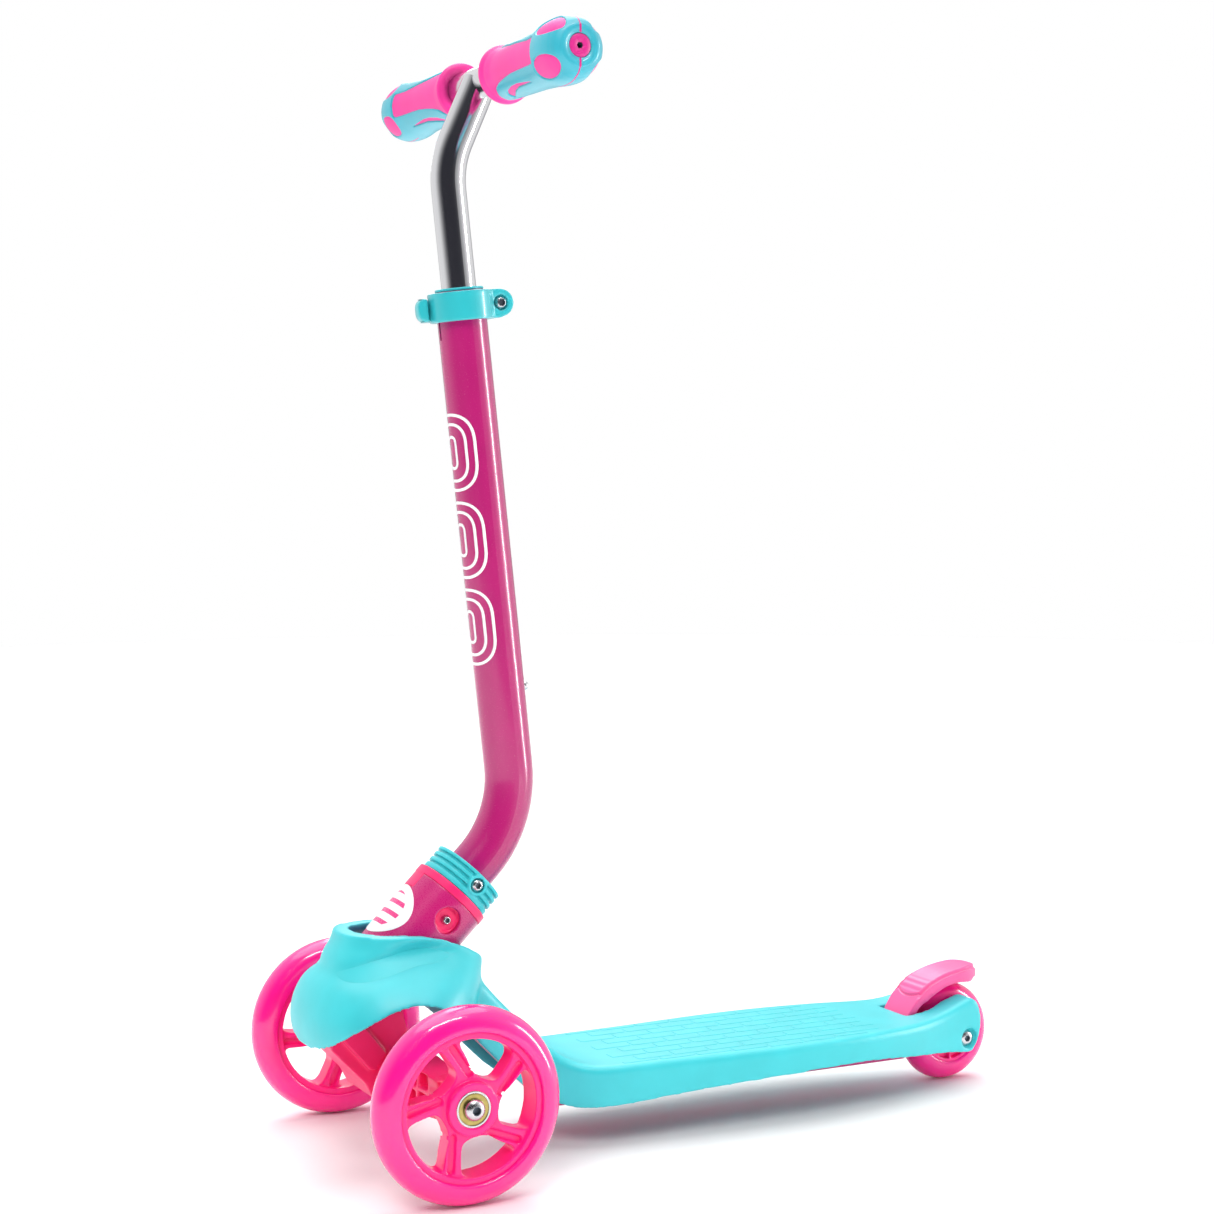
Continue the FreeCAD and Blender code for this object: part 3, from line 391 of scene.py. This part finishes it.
# --- hood and deck -----------------------------------------------------------
def shape_hood(p, mesh):
    """Shape the soft parts of the moulding: groove under the rim, rolled lip, thin opening."""
    normals = normals_of(mesh)
    y, z = p[:, 1], p[:, 2]
    axis_y = -2.0
    dx, dy = p[:, 0], y - axis_y
    reach = np.sqrt(dx * dx + dy * dy) + 1e-6
    turn = np.degrees(np.arctan2(np.abs(dx), -dy))
    outward = (normals[:, 0] * dx + normals[:, 1] * dy) / reach
    outer = step(outward, -0.3, 0.3)
    hood = step(-y, -56, -46) * step(z, 80, 92)
    fold_z = 125.0 + 11.0 * step(turn, 25, 100)
    depth = 2.8 + 5.0 * step(turn, 15, 60) - 7.8 * step(turn, 100, 150)
    fold = -depth * np.exp(-((z - fold_z) / 6.0) ** 2) * outer
    roll = 0.9 * step(z, 138, 146) * outer * (1 - step(turn, 110, 150))
    lip = -6.0 * step(z, 132, 144) * (1 - outer) * (1 - step(turn, 120, 165))
    move = hood * (fold + roll + lip)
    out = p.copy()
    out[:, 0] += move * dx / reach
    out[:, 1] += move * dy / reach
    return out


def ease_hood(p):
    """Where the rear of the hood flows into the neck."""
    x, y, z = np.abs(p[:, 0]), p[:, 1], p[:, 2]
    back = step(y, 22, 34) * (1 - step(y, 72, 84)) * step(z, 78, 88) * (1 - step(z, 116, 126))
    return back * step(x, 14, 24), 90


def build_deck():
    new_piece("deck_hood_part", moulded("deck_hood", 1.1, 10, 190000, shape_hood, ease_hood), "deck_hood")
    bm = bmesh.new()
    row, length, gap, lift = 11.5, 27.0, 1.3, 0.26
    front, rear, sunk = 112.0, 344.0, 0.4
    half_width = ((112, 140, 200, 250, 280, 330, 350), (42, 45, 47.5, 50, 50, 46, 43))
    for i in range(-4, 5):
        for k in range(9):
            x0 = (i - 0.5) * row + gap / 2
            x1 = (i + 0.5) * row - gap / 2
            y0 = front + k * length + (i % 2) * length / 2 + gap / 2
            y1 = min(y0 + length - gap, rear)
            half = np.interp([y0, y1], *half_width).min()
            x0, x1 = max(x0, -half), min(x1, half)
            if y0 < front + 24 or y1 - y0 < 6 or x1 - x0 < 4:
                continue
            lower = [(x0, y0), (x1, y0), (x1, y1), (x0, y1)]
            outline = rounded([(a, b, 0) for a, b in lower], 1.6, 3)
            base = [bm.verts.new(mm(q.x, q.y, DECK_TOP_Z - sunk)) for q in outline]
            mid_x, mid_y = (x0 + x1) / 2, (y0 + y1) / 2
            levels = [base]
            for shrink, rise in ((0.0, 0.6), (0.35, 1.0), (0.8, 1.0)):
                ring = []
                for q in outline:
                    sx = (q.x - mid_x) * (1 - 2 * shrink / (x1 - x0))
                    sy = (q.y - mid_y) * (1 - 2 * shrink / (y1 - y0))
                    ring.append(bm.verts.new(mm(mid_x + sx, mid_y + sy, DECK_TOP_Z + lift * rise)))
                levels.append(ring)
            for a, b in zip(levels, levels[1:]):
                join_rings(bm, a, b)
            bm.faces.new(levels[-1])
            bm.faces.new(list(reversed(base)))
    new_piece("deck_tread", made(bm, "deck_tread"), body="frame", slot="teal_plastic")


# --- wheels ------------------------------------------------------------------
def tyre(node, r, half, seat):
    """Tyre with a round tread of radius r and half width half, whose inner face is at seat."""
    arc_steps = 24
    profile = [(-half + 0.8, seat - 0.4), (-half, seat + 0.6)]
    for k in range(arc_steps + 1):
        angle = math.pi * k / arc_steps
        profile.append((-half * math.cos(angle), r - half + half * math.sin(angle)))
    profile += [
        (half, seat + 0.6), (half - 0.8, seat - 0.4), (half - 4.0, seat - 0.9), (-half + 4.0, seat - 0.9),
    ]
    low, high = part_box(node)
    new_piece(node + "_part", lathe(profile, (low + high) / 2, X, Z, 192), node)


def bearing(node):
    """Ball bearing whose shields lie a little below the two rings."""
    low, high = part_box(node)
    h = (high.x - low.x) * 500
    outline = [
        (-h, 4.0), (-h, 6.0), (-h + 0.5, 6.2), (-h + 0.35, 6.5), (-h + 0.35, 9.2), (-h + 0.6, 9.5), (-h, 9.7),
        (-h, 11.0), (h, 11.0), (h, 9.7), (h - 0.6, 9.5), (h - 0.35, 9.2), (h - 0.35, 6.5), (h - 0.5, 6.2),
        (h, 6.0), (h, 4.0),
    ]
    centre = (low + high) / 2
    mesh = lathe(rounded([(a, r, 0) for a, r in outline], 0.2, 2), centre, X, Z, 96)
    new_piece(node + "_part", mesh, node, mats=[MAT["zinc_steel"], MAT["shield_gold"]])
    shield_inner, shield_outer = 6.25, 9.6
    for face in mesh.polygons:
        arm = Vector(face.center) - centre
        if shield_inner < math.hypot(arm.y, arm.z) * 1000 < shield_outer:
            face.material_index = 1


def bolt(node, seat, at, head_size, socket_size, shank_size):
    """Domed socket-head bolt along X through the point at.

    seat is the x of the face under the head. head_size is (radius, height),
    socket_size is (radius, depth) and shank_size is (radius, x of its end).
    """
    head_r, height = head_size
    socket_r, depth = socket_size
    shank_r, shank_end = shank_size
    sign = 1 if seat > 0 else -1
    length = abs(seat - shank_end)
    outline = [
        (height - depth, 0), (height - depth, socket_r), (height, socket_r), (height, socket_r + 0.5),
        (height * 0.86, head_r * 0.72), (height * 0.5, head_r * 0.95), (height * 0.2, head_r),
        (0, head_r * 0.97), (0, shank_r), (-length, shank_r), (-length, 0),
    ]
    centre = Vector((seat / 1000, at.y, at.z))
    mesh = lathe(outline, centre, X * sign, Z, 96, hexed=(1, 2))
    new_piece(node + "_part", mesh, node, mats=[MAT["zinc_steel"], MAT["socket_painted_shade"]], smooth=False)
    # The faces inside the hex socket get the dark material, which is painted shade in the recess.
    for face in mesh.polygons:
        arm = Vector(face.center) - centre
        within = math.hypot(arm.y, arm.z) * 1000 < socket_r * 1.16
        if within and abs(arm.x) * 1000 > height - depth - 0.1:
            face.material_index = 1
        face.use_smooth = face.material_index == 0


def build_wheels():
    for name in ("left", "right"):
        tyre("wheel_%s_tyre" % name, FRONT_AXLE_Z, 12.5, 46.0)
    tyre("wheel_rear_tyre", REAR_AXLE[1], 11.0, 21.5)
    for name in ("left", "right"):
        soft("wheel_%s_core" % name, 0.6, 11, 150000)
    soft("wheel_rear_core", 0.5, 4, 90000)
    for name in ("left", "right", "rear"):
        bearing("wheel_%s_bearing_outer" % name)
        bearing("wheel_%s_bearing_inner" % name)


# --- handlebar ---------------------------------------------------------------
GRIP_SKIN = [(32, 17.2), (33.4, 18.2), (35.2, 18.0), (37.4, 16.4), (44, 16.2), (52, 16.5), (84, 17.1),
             (102, 18.2), (115, 19.7), (124, 19.9), (132, 18.6), (137, 16.2), (140.3, 12.0)]
WINDOW_LOW = [(39, -90), (40, -80), (41.5, -60), (46, -43), (53, -35), (63, -29), (73, -25),
              (83, -24), (108, -23)]
WINDOW_HIGH = [(38, 90), (40, 78), (42, 66), (65, 46), (80, 40), (97, 30), (107, 29)]
SLIT_HIGH = [(50.5, -84), (51.5, -70), (55.5, -60), (64.5, -52), (75, -50), (85.5, -53), (94, -56)]
SLIT_LOW = [(50.5, -86), (51.5, -86), (55, -80), (63, -67), (72.5, -59), (82.5, -58), (94, -56.5)]


def along_table(x, table):
    return np.interp(x, [p[0] for p in table], [p[1] for p in table])


def skin_radius(x):
    """Outer radius of the grip at x, with the corners of the table eased."""
    x = np.asarray(x, float)
    reach = np.clip(np.minimum(x - 37.0, 139.5 - x), 0.0, 5.0)
    return sum(along_table(x + reach * u, GRIP_SKIN) for u in (-0.8, -0.4, 0.0, 0.4, 0.8)) / 5.0


def soft_max(a, b, k):
    return (a + b + np.sqrt((a - b) ** 2 + k * k)) / 2


def cover_depth(x, angle):
    """Distance in mm inside the teal overmould: below 0 the pink core shows."""
    turn = np.degrees(np.angle(np.exp(1j * np.radians(angle))))
    turn = np.where(np.abs(turn) > 90, np.sign(turn) * 180 - turn, turn)
    arc = np.radians(1.0) * skin_radius(x)
    below = (along_table(x, WINDOW_LOW) - turn) * arc
    above = (turn - along_table(x, WINDOW_HIGH)) * arc
    window = soft_max(below, above, 0.6)
    cover = soft_max(window, x - 111.5, 2.0)
    for x0, turn0 in ((124.0, -38.0), (125.5, 46.0)):
        reach = np.abs((x - x0) / 12.6) ** 2.3 + np.abs((turn - turn0) / 24.0) ** 2.3
        cover = np.minimum(cover, (reach ** (1 / 2.3) - 1) * 8.0)
    slit = np.maximum(turn - along_table(x, SLIT_HIGH), along_table(x, SLIT_LOW) - turn) * arc
    return np.minimum(cover, np.maximum(slit, np.maximum(50.5 - x, x - 94.0)))


def grip_core(side, along, centre):
    """The pink core, a little below the skin of the grip."""
    relief, foot, head_end = 0.75, 32.0, 139.0
    skin = []
    for a in np.linspace(foot, head_end, 150):
        skin.append((a, float(skin_radius(a)) - relief * float(step(a, 38, 46)), 0))
    seat = [(head_end, 7.6, 0), (135.9, 7.6, 0), (135.9, 11.3, 0)]
    mesh = lathe([(foot, 11.2, 0)] + skin + seat, centre, along, -Y, 160)
    new_piece("grip_core_%s_part" % side, mesh, "grip_core_" + side)


def grip_cover(side, along, centre):
    """The overmould, a sleeve that dips under the skin of the core where the core shows."""
    spokes, sunk, raised = 300, 1.7, 1.9
    xs = np.concatenate([np.linspace(38.5, 132.0, 150), np.linspace(132.5, 140.3, 26)])
    angles = np.linspace(0, 360, spokes, endpoint=False)
    x, angle = np.meshgrid(xs, angles, indexing="ij")
    rise = np.clip(cover_depth(x, angle) / 1.3 + 0.5, 0, 1)
    rise = np.where(x < 39.5, 0, rise)
    radius = skin_radius(x) - sunk + raised * rise * rise * (3 - 2 * rise)
    radius = np.where(x >= 140.2, np.minimum(radius, 11.4), radius)
    inner = ((140.3, 7.3), (136.2, 7.3), (136.2, 11.0), (112.0, 13.5), (60.0, 13.5), (38.5, 13.5))
    bm = bmesh.new()
    grid = []
    for i in range(len(xs) + len(inner)):
        ring = []
        for k in range(spokes):
            a = math.radians(angles[k])
            arm = -Y * math.cos(a) + Z * math.sin(a)
            place, r = (xs[i], radius[i, k]) if i < len(xs) else inner[i - len(xs)]
            ring.append(bm.verts.new(centre + along * (place / 1000) + arm * (r / 1000)))
        grid.append(ring)
    for i in range(len(grid)):
        join_rings(bm, grid[i], grid[(i + 1) % len(grid)])
    new_piece("grip_cover_%s_part" % side, made(bm, "grip_cover"), "grip_cover_" + side)


def grip_seams(side, along, centre):
    """Thin pink ribs above and below the end cap, along the end of the grip."""
    outer, inner, proud = 0.65, 0.4, 0.25
    bm = bmesh.new()
    for up in (1, -1):
        rings = []
        for a in np.linspace(110.0, 140.3, 62):
            r = float(skin_radius(a)) + proud
            deep = max(7.4, r - 3.0) if a < 138.0 else 7.4
            place = centre + along * ((a + (0.1 if a > 140 else 0)) / 1000)
            skin = r - proud
            section = ((-outer, deep), (-outer, skin), (-inner, r), (inner, r), (outer, skin), (outer, deep))
            corners = [place + Y * (half / 1000) + Z * (up * z / 1000) for half, z in section]
            rings.append([bm.verts.new(corner) for corner in corners])
        for a, b in zip(rings, rings[1:]):
            join_rings(bm, a, b)
        bm.faces.new(rings[0])
        bm.faces.new(list(reversed(rings[-1])))
    new_piece("grip_seam_" + side, made(bm, "grip_seam"), body=NODE_BODY["grip_core_" + side],
              slot="grip_pink", mats=[MAT["cap_pink"]], smooth=False)


def end_cap(side, along, centre):
    """Pink cap with a hexagonal socket in the end of the grip."""
    socket_r, socket_foot = 0.0021, 0.1392
    outline = [
        (122.0, 0.0), (122.0, 9.3), (135.7, 9.3), (135.7, 7.1), (139.6, 7.1), (140.1, 6.6), (140.1, 2.2),
        (139.6, 1.7), (133.0, 1.7), (133.0, 0.0),
    ]
    mesh = lathe([(a, r, 0) for a, r in outline], centre, along, -Y, 96, hexed=(6, 7, 8))
    new_piece("end_cap_%s_part" % side, mesh, "end_cap_" + side, mats=[MAT["cap_pink"], MAT["socket_painted_shade"]])
    # The faces inside the hex socket of the pink cap get the dark material, which is painted shade in the
    # recess.
    for face in mesh.polygons:
        arm = Vector(face.center) - centre
        if math.hypot(arm.y, arm.z) < socket_r and abs(arm.x) < socket_foot:
            face.material_index = 1


def grip(side):
    along = X if side == "left" else -X
    centre = mm(0, *BAR_AXIS)
    for build in (grip_core, grip_cover, grip_seams, end_cap):
        build(side, along, centre)


# --- stem film ---------------------------------------------------------------
def on_stem(u, w, r):
    """Point on the front of the stem: u round it in mm, w up it."""
    angle = u / STEM_R
    return stem(w, r * math.sin(angle), -r * math.cos(angle))


def ribbon(bm, points, half, r0, r1):
    """Flat closed band along a loop of (u, w) points, wrapped on the stem."""
    count = len(points)
    rings = []
    for i, p in enumerate(points):
        along = (points[(i + 1) % count] - points[i - 1]).normalized()
        side = Vector((-along.y, along.x, 0))
        a, b = p + side * half, p - side * half
        corners = ((a, r0), (a, r1), (b, r1), (b, r0))
        rings.append([bm.verts.new(on_stem(q.x, q.y, r)) for q, r in corners])
    for i in range(count):
        join_rings(bm, rings[i], rings[(i + 1) % count])


def capsule(u, w, half_u, half_w):
    corners = [(u - half_u, w - half_w, 0), (u + half_u, w - half_w, 0),
               (u + half_u, w + half_w, 0), (u - half_u, w + half_w, 0)]
    loop = rounded(corners, min(half_u, half_w) * 0.95, 12)
    dense = []
    for i, p in enumerate(loop):
        q = loop[(i + 1) % len(loop)]
        parts = max(1, int((q - p).length / 2.0))
        dense += [p.lerp(q, k / parts) for k in range(parts)]
    return dense


def build_film():
    """Plain pattern of nested capsules on the front of the stem."""
    bm = bmesh.new()
    line_half = 0.95
    for w in (-70.0, -126.0, -182.0):
        for half_u, half_w in ((18.5, 24.0), (12.5, 18.0), (4.5, 10.0)):
            ribbon(bm, capsule(0, w, half_u, half_w), line_half, STEM_R + 0.02, STEM_R + 0.2)
    new_piece("stem_pattern", made(bm, "stem_pattern"), body="stem", slot="white_film",
              mats=[MAT["film_white"]])


# --- brake pedal -------------------------------------------------------------
def shape_pedal(p, mesh):
    """Raise the tread panel, round the rim and drop skirts beside the tyre."""
    normals = normals_of(mesh)
    dy, dz = p[:, 1] - REAR_AXLE[0], p[:, 2] - REAR_AXLE[1]
    reach = np.sqrt(dy * dy + dz * dz) + 1e-6
    turn = np.degrees(np.arctan2(dz, dy))
    outward = (normals[:, 1] * dy + normals[:, 2] * dz) / reach
    half = np.interp(p[:, 1], [360, 388, 394, 405, 425, 432.4, 438, 442, 445, 447.4],
                     [15.2, 15.6, 16.2, 17, 17, 16, 13.7, 10.8, 7.1, 3.2])
    edge = np.abs(p[:, 0])
    margin = np.minimum(half - edge, (turn - 56.0 - 0.02 * edge * edge) * 0.75)
    inside = np.minimum(margin - 3.2, (137.0 - 0.03 * edge * edge - turn) * 0.75)
    top = step(outward, 0.2, 0.6) * step(p[:, 1], 376, 380)
    ripple = 0.15 * np.cos((turn - 120.0) * 0.9) * step(turn, 112, 118) * step(inside, 0.5, 2.0)
    move = top * (0.9 * step(inside, -0.6, 0.8) - 0.5 * np.exp(-((inside + 0.8) / 0.7) ** 2) + ripple)
    move -= 2.0 * top * (1 - step(margin, 0.0, 4.0)) * step(140.0 - turn, 0, 8)
    skirt = step(-outward, 0.3, 0.7) * step(edge, 12.4, 13.4)
    skirt *= step(p[:, 1], 388, 396) * step(446 - p[:, 1], 2, 10)
    move -= 3.0 * skirt
    out = p.copy()
    out[:, 1] += move * dy / reach
    out[:, 2] += move * dz / reach
    return out


def ease_pedal(p):
    """The rounded tip of the pedal."""
    return step(p[:, 1], 434, 442), 14


def shape_lever(p, mesh):
    """Round the outer face of the clamp lever from top to bottom."""
    normals = normals_of(mesh)
    dy, dz = p[:, 1] - STEM_FOOT[0], p[:, 2] - STEM_FOOT[1]
    w = dz * math.cos(STEM_LEAN) - dy * math.sin(STEM_LEAN)
    d = dy * math.cos(STEM_LEAN) + dz * math.sin(STEM_LEAN)
    reach = np.hypot(p[:, 0], d) + 1e-6
    nd = normals[:, 1] * math.cos(STEM_LEAN) + normals[:, 2] * math.sin(STEM_LEAN)
    outer = step((normals[:, 0] * p[:, 0] + nd * d) / reach, 0.1, 0.5)
    middle = (w.min() + w.max()) / 2
    across = np.abs(w - middle) / ((w.max() - w.min()) / 2)
    move = outer * (0.9 * (1 - across ** 2) - 2.4 * across ** 4)
    out = p.copy()
    out[:, 0] += move * p[:, 0] / reach
    out[:, 1] += move * d / reach * math.cos(STEM_LEAN)
    out[:, 2] += move * d / reach * math.sin(STEM_LEAN)
    return out


# --- mouldings, castings and bolts -------------------------------------------
def build_moulded():
    for node, voxel, smooth, most_faces, sculpt, ease in (
        ("head_tube", 0.6, 4, 120000, None, None),
        ("frame_rail", 1.0, 5, 100000, None, None),
        ("upper_bush", 0.5, 4, 120000, None, None),
        ("stem_collar", 0.45, 4, 150000, None, None),
        ("truck", 0.8, 6, 190000, None, None),
        ("clamp_band", 0.5, 20, 120000, None, None),
        ("clamp_lever", 0.6, 20, 90000, shape_lever, None),
        ("stem_bush", 0.5, 3, 60000, None, None),
        ("brake_pedal", 0.45, 8, 150000, shape_pedal, ease_pedal),
        ("lever_pin", 0.22, 3, 60000, None, None),
        ("snap_button", 0.22, 3, 60000, None, None),
        ("rear_axle_nut", 0.22, 3, 60000, None, None),
        ("deck_screw_1", 0.22, 3, 60000, None, None),
        ("deck_screw_2", 0.22, 3, 60000, None, None),
    ):
        piece = soft(node, voxel, smooth, most_faces, sculpt, ease)
        # The clamp band and lever take the darker teal copy, which is painted shade.
        if node in ("clamp_band", "clamp_lever"):
            piece.data.materials[0] = MAT["clamp_teal_painted_shade"]


def build_bolts():
    front_axle = mm(0, 0, FRONT_AXLE_Z)
    for side, sign in (("left", 1), ("right", -1)):
        bolt("axle_bolt_" + side, sign * 123.5, front_axle, (6.6, 4.6), (2.3, 2.8), (3.95, sign * 62.0))
        bolt("collar_screw_" + side, sign * 23.0, head(154.9), (4.2, 3.2), (1.7, 1.8), (2.0, sign * 17.0))
        bolt("bush_screw_" + side, sign * 21.5, head(125.7), (3.2, 3.0), (1.5, 1.5), (2.5, sign * 14.4))
    bolt("rear_axle", 28.5, mm(0, *REAR_AXLE), (5.6, 2.6), (1.9, 1.8), (3.95, -32.0))
    bolt("clamp_bolt", 7.5, stem(21.8, 0, 24.0), (4.1, 3.1), (2.0, 1.7), (3.0, -12.0))


def paint_cad_nodes():
    """Materials for the CAD nodes that no piece stands for."""
    for node, obj in frame["nodes"].items():
        if not obj.hide_render:
            obj.data.materials.clear()
            # The stem tube takes the darker copy of the magenta paint, which is painted shade.
            obj.data.materials.append(MAT["stem_paint_painted_shade" if node == "stem_tube" else NODE_SLOT[node]])


# --- floor, light and camera -------------------------------------------------
def area(name, place, target, width, height, power):
    light = bpy.data.lights.new(name, "AREA")
    light.shape = "RECTANGLE"
    light.size = width
    light.size_y = height
    light.energy = power
    obj = bpy.data.objects.new(name, light)
    obj.location = place
    obj.rotation_euler = (Vector(target) - Vector(place)).to_track_quat("-Z", "Y").to_euler()
    bpy.context.scene.collection.objects.link(obj)
    return obj


def build_stage():
    floor_mesh = bpy.data.meshes.new("floor")
    bm = bmesh.new()
    floor_radius, floor_middle = 3.4, (-1.29, 0.75, 0.0)
    bmesh.ops.create_circle(bm, cap_ends=True, segments=128, radius=floor_radius)
    bmesh.ops.translate(bm, verts=bm.verts, vec=floor_middle)
    bm.to_mesh(floor_mesh)
    bm.free()
    floor = bpy.data.objects.new("floor", floor_mesh)
    bpy.context.scene.collection.objects.link(floor)
    paper = material("floor_paper", (0.9, 0.9, 0.9), 0.9, mottle=0.01, mottle_scale=3, grain=0.02,
                     rough_swing=0.02)
    floor_mesh.materials.append(paper)
    sun = bpy.data.lights.new("sky_soft", "SUN")
    sun.energy = 1.7
    sun.angle = math.radians(60)
    sun_obj = bpy.data.objects.new("sky_soft", sun)
    sun_obj.rotation_euler = Vector((0.28, -0.1, -1)).to_track_quat("-Z", "Y").to_euler()
    bpy.context.scene.collection.objects.link(sun_obj)
    area("key", (1.5, -1.5, 2.2), (0, -0.05, 0.3), 1.2, 1.2, 42).visible_glossy = False
    area("low", (1.6, -1.9, 0.25), (0, -0.1, 0.25), 2.0, 0.3, 5).visible_glossy = False
    area("side", (1.6, 0.9, 0.2), (0, 0.2, 0.08), 0.6, 0.3, 10).visible_glossy = False
    area("edge", (0.9, 2.1, 0.6), (0, 0.0, 0.4), 0.1, 1.4, 36).visible_diffuse = False
    area("strip", (1.0, -0.2, 2.2), (0, 0.0, 0.2), 1.2, 0.08, 22).visible_diffuse = False
    area("back", (-1.6, 0.6, 1.6), (0, 0.0, 0.4), 0.8, 1.6, 12)
    world = bpy.data.worlds.new("studio")
    bpy.context.scene.world = world
    world.use_nodes = True
    nodes, links = world.node_tree.nodes, world.node_tree.links
    background = nodes["Background"]
    coord = add(nodes, "ShaderNodeTexCoord")
    toward = add(nodes, "ShaderNodeVectorMath", operation="DOT_PRODUCT")
    toward.inputs[1].default_value = Vector((0.86, -0.5, 0.1)).normalized()
    links.new(coord.outputs["Generated"], toward.inputs[0])
    spread = add(nodes, "ShaderNodeMapRange")
    spread.inputs["From Min"].default_value = -1.0
    links.new(toward.outputs["Value"], spread.inputs["Value"])
    ramp = add(nodes, "ShaderNodeValToRGB")
    ramp.color_ramp.interpolation = "EASE"
    ramp.color_ramp.elements[0].position = 0.0
    ramp.color_ramp.elements[0].color = (0.35, 0.35, 0.37, 1)
    ramp.color_ramp.elements[1].position = 0.93
    ramp.color_ramp.elements[1].color = (0.04, 0.04, 0.05, 1)
    for place in (0.12, 0.46):
        ramp.color_ramp.elements.new(place).color = (1.0, 1.0, 1.0, 1)
    links.new(spread.outputs["Result"], ramp.inputs["Fac"])
    path = add(nodes, "ShaderNodeLightPath")
    seen = add(nodes, "ShaderNodeMix", data_type="RGBA")
    seen.inputs["B"].default_value = (1.0, 1.0, 1.0, 1)
    links.new(path.outputs["Is Camera Ray"], seen.inputs["Factor"])
    links.new(ramp.outputs["Color"], seen.inputs["A"])
    links.new(seen.outputs["Result"], background.inputs["Color"])
    background.inputs["Strength"].default_value = 1.0
    bpy.context.scene.view_settings.view_transform = "Standard"


def build_camera():
    data = bpy.data.cameras.new("camera")
    data.sensor_width = 36.0
    data.lens = 66.8
    data.clip_end = 100.0
    camera = bpy.data.objects.new("camera", data)
    camera.location = (1.32724, -0.71470, 0.42730)
    azimuth, down = math.radians(63.26), math.radians(3.10)
    look = Vector((-math.sin(azimuth) * math.cos(down), math.cos(azimuth) * math.cos(down), -math.sin(down)))
    camera.rotation_euler = look.to_track_quat("-Z", "Y").to_euler()
    bpy.context.scene.collection.objects.link(camera)
    bpy.context.scene.camera = camera


build_deck()
build_wheels()
for grip_side in ("left", "right"):
    grip(grip_side)
build_film()
build_moulded()
build_bolts()
paint_cad_nodes()
build_stage()
build_camera()
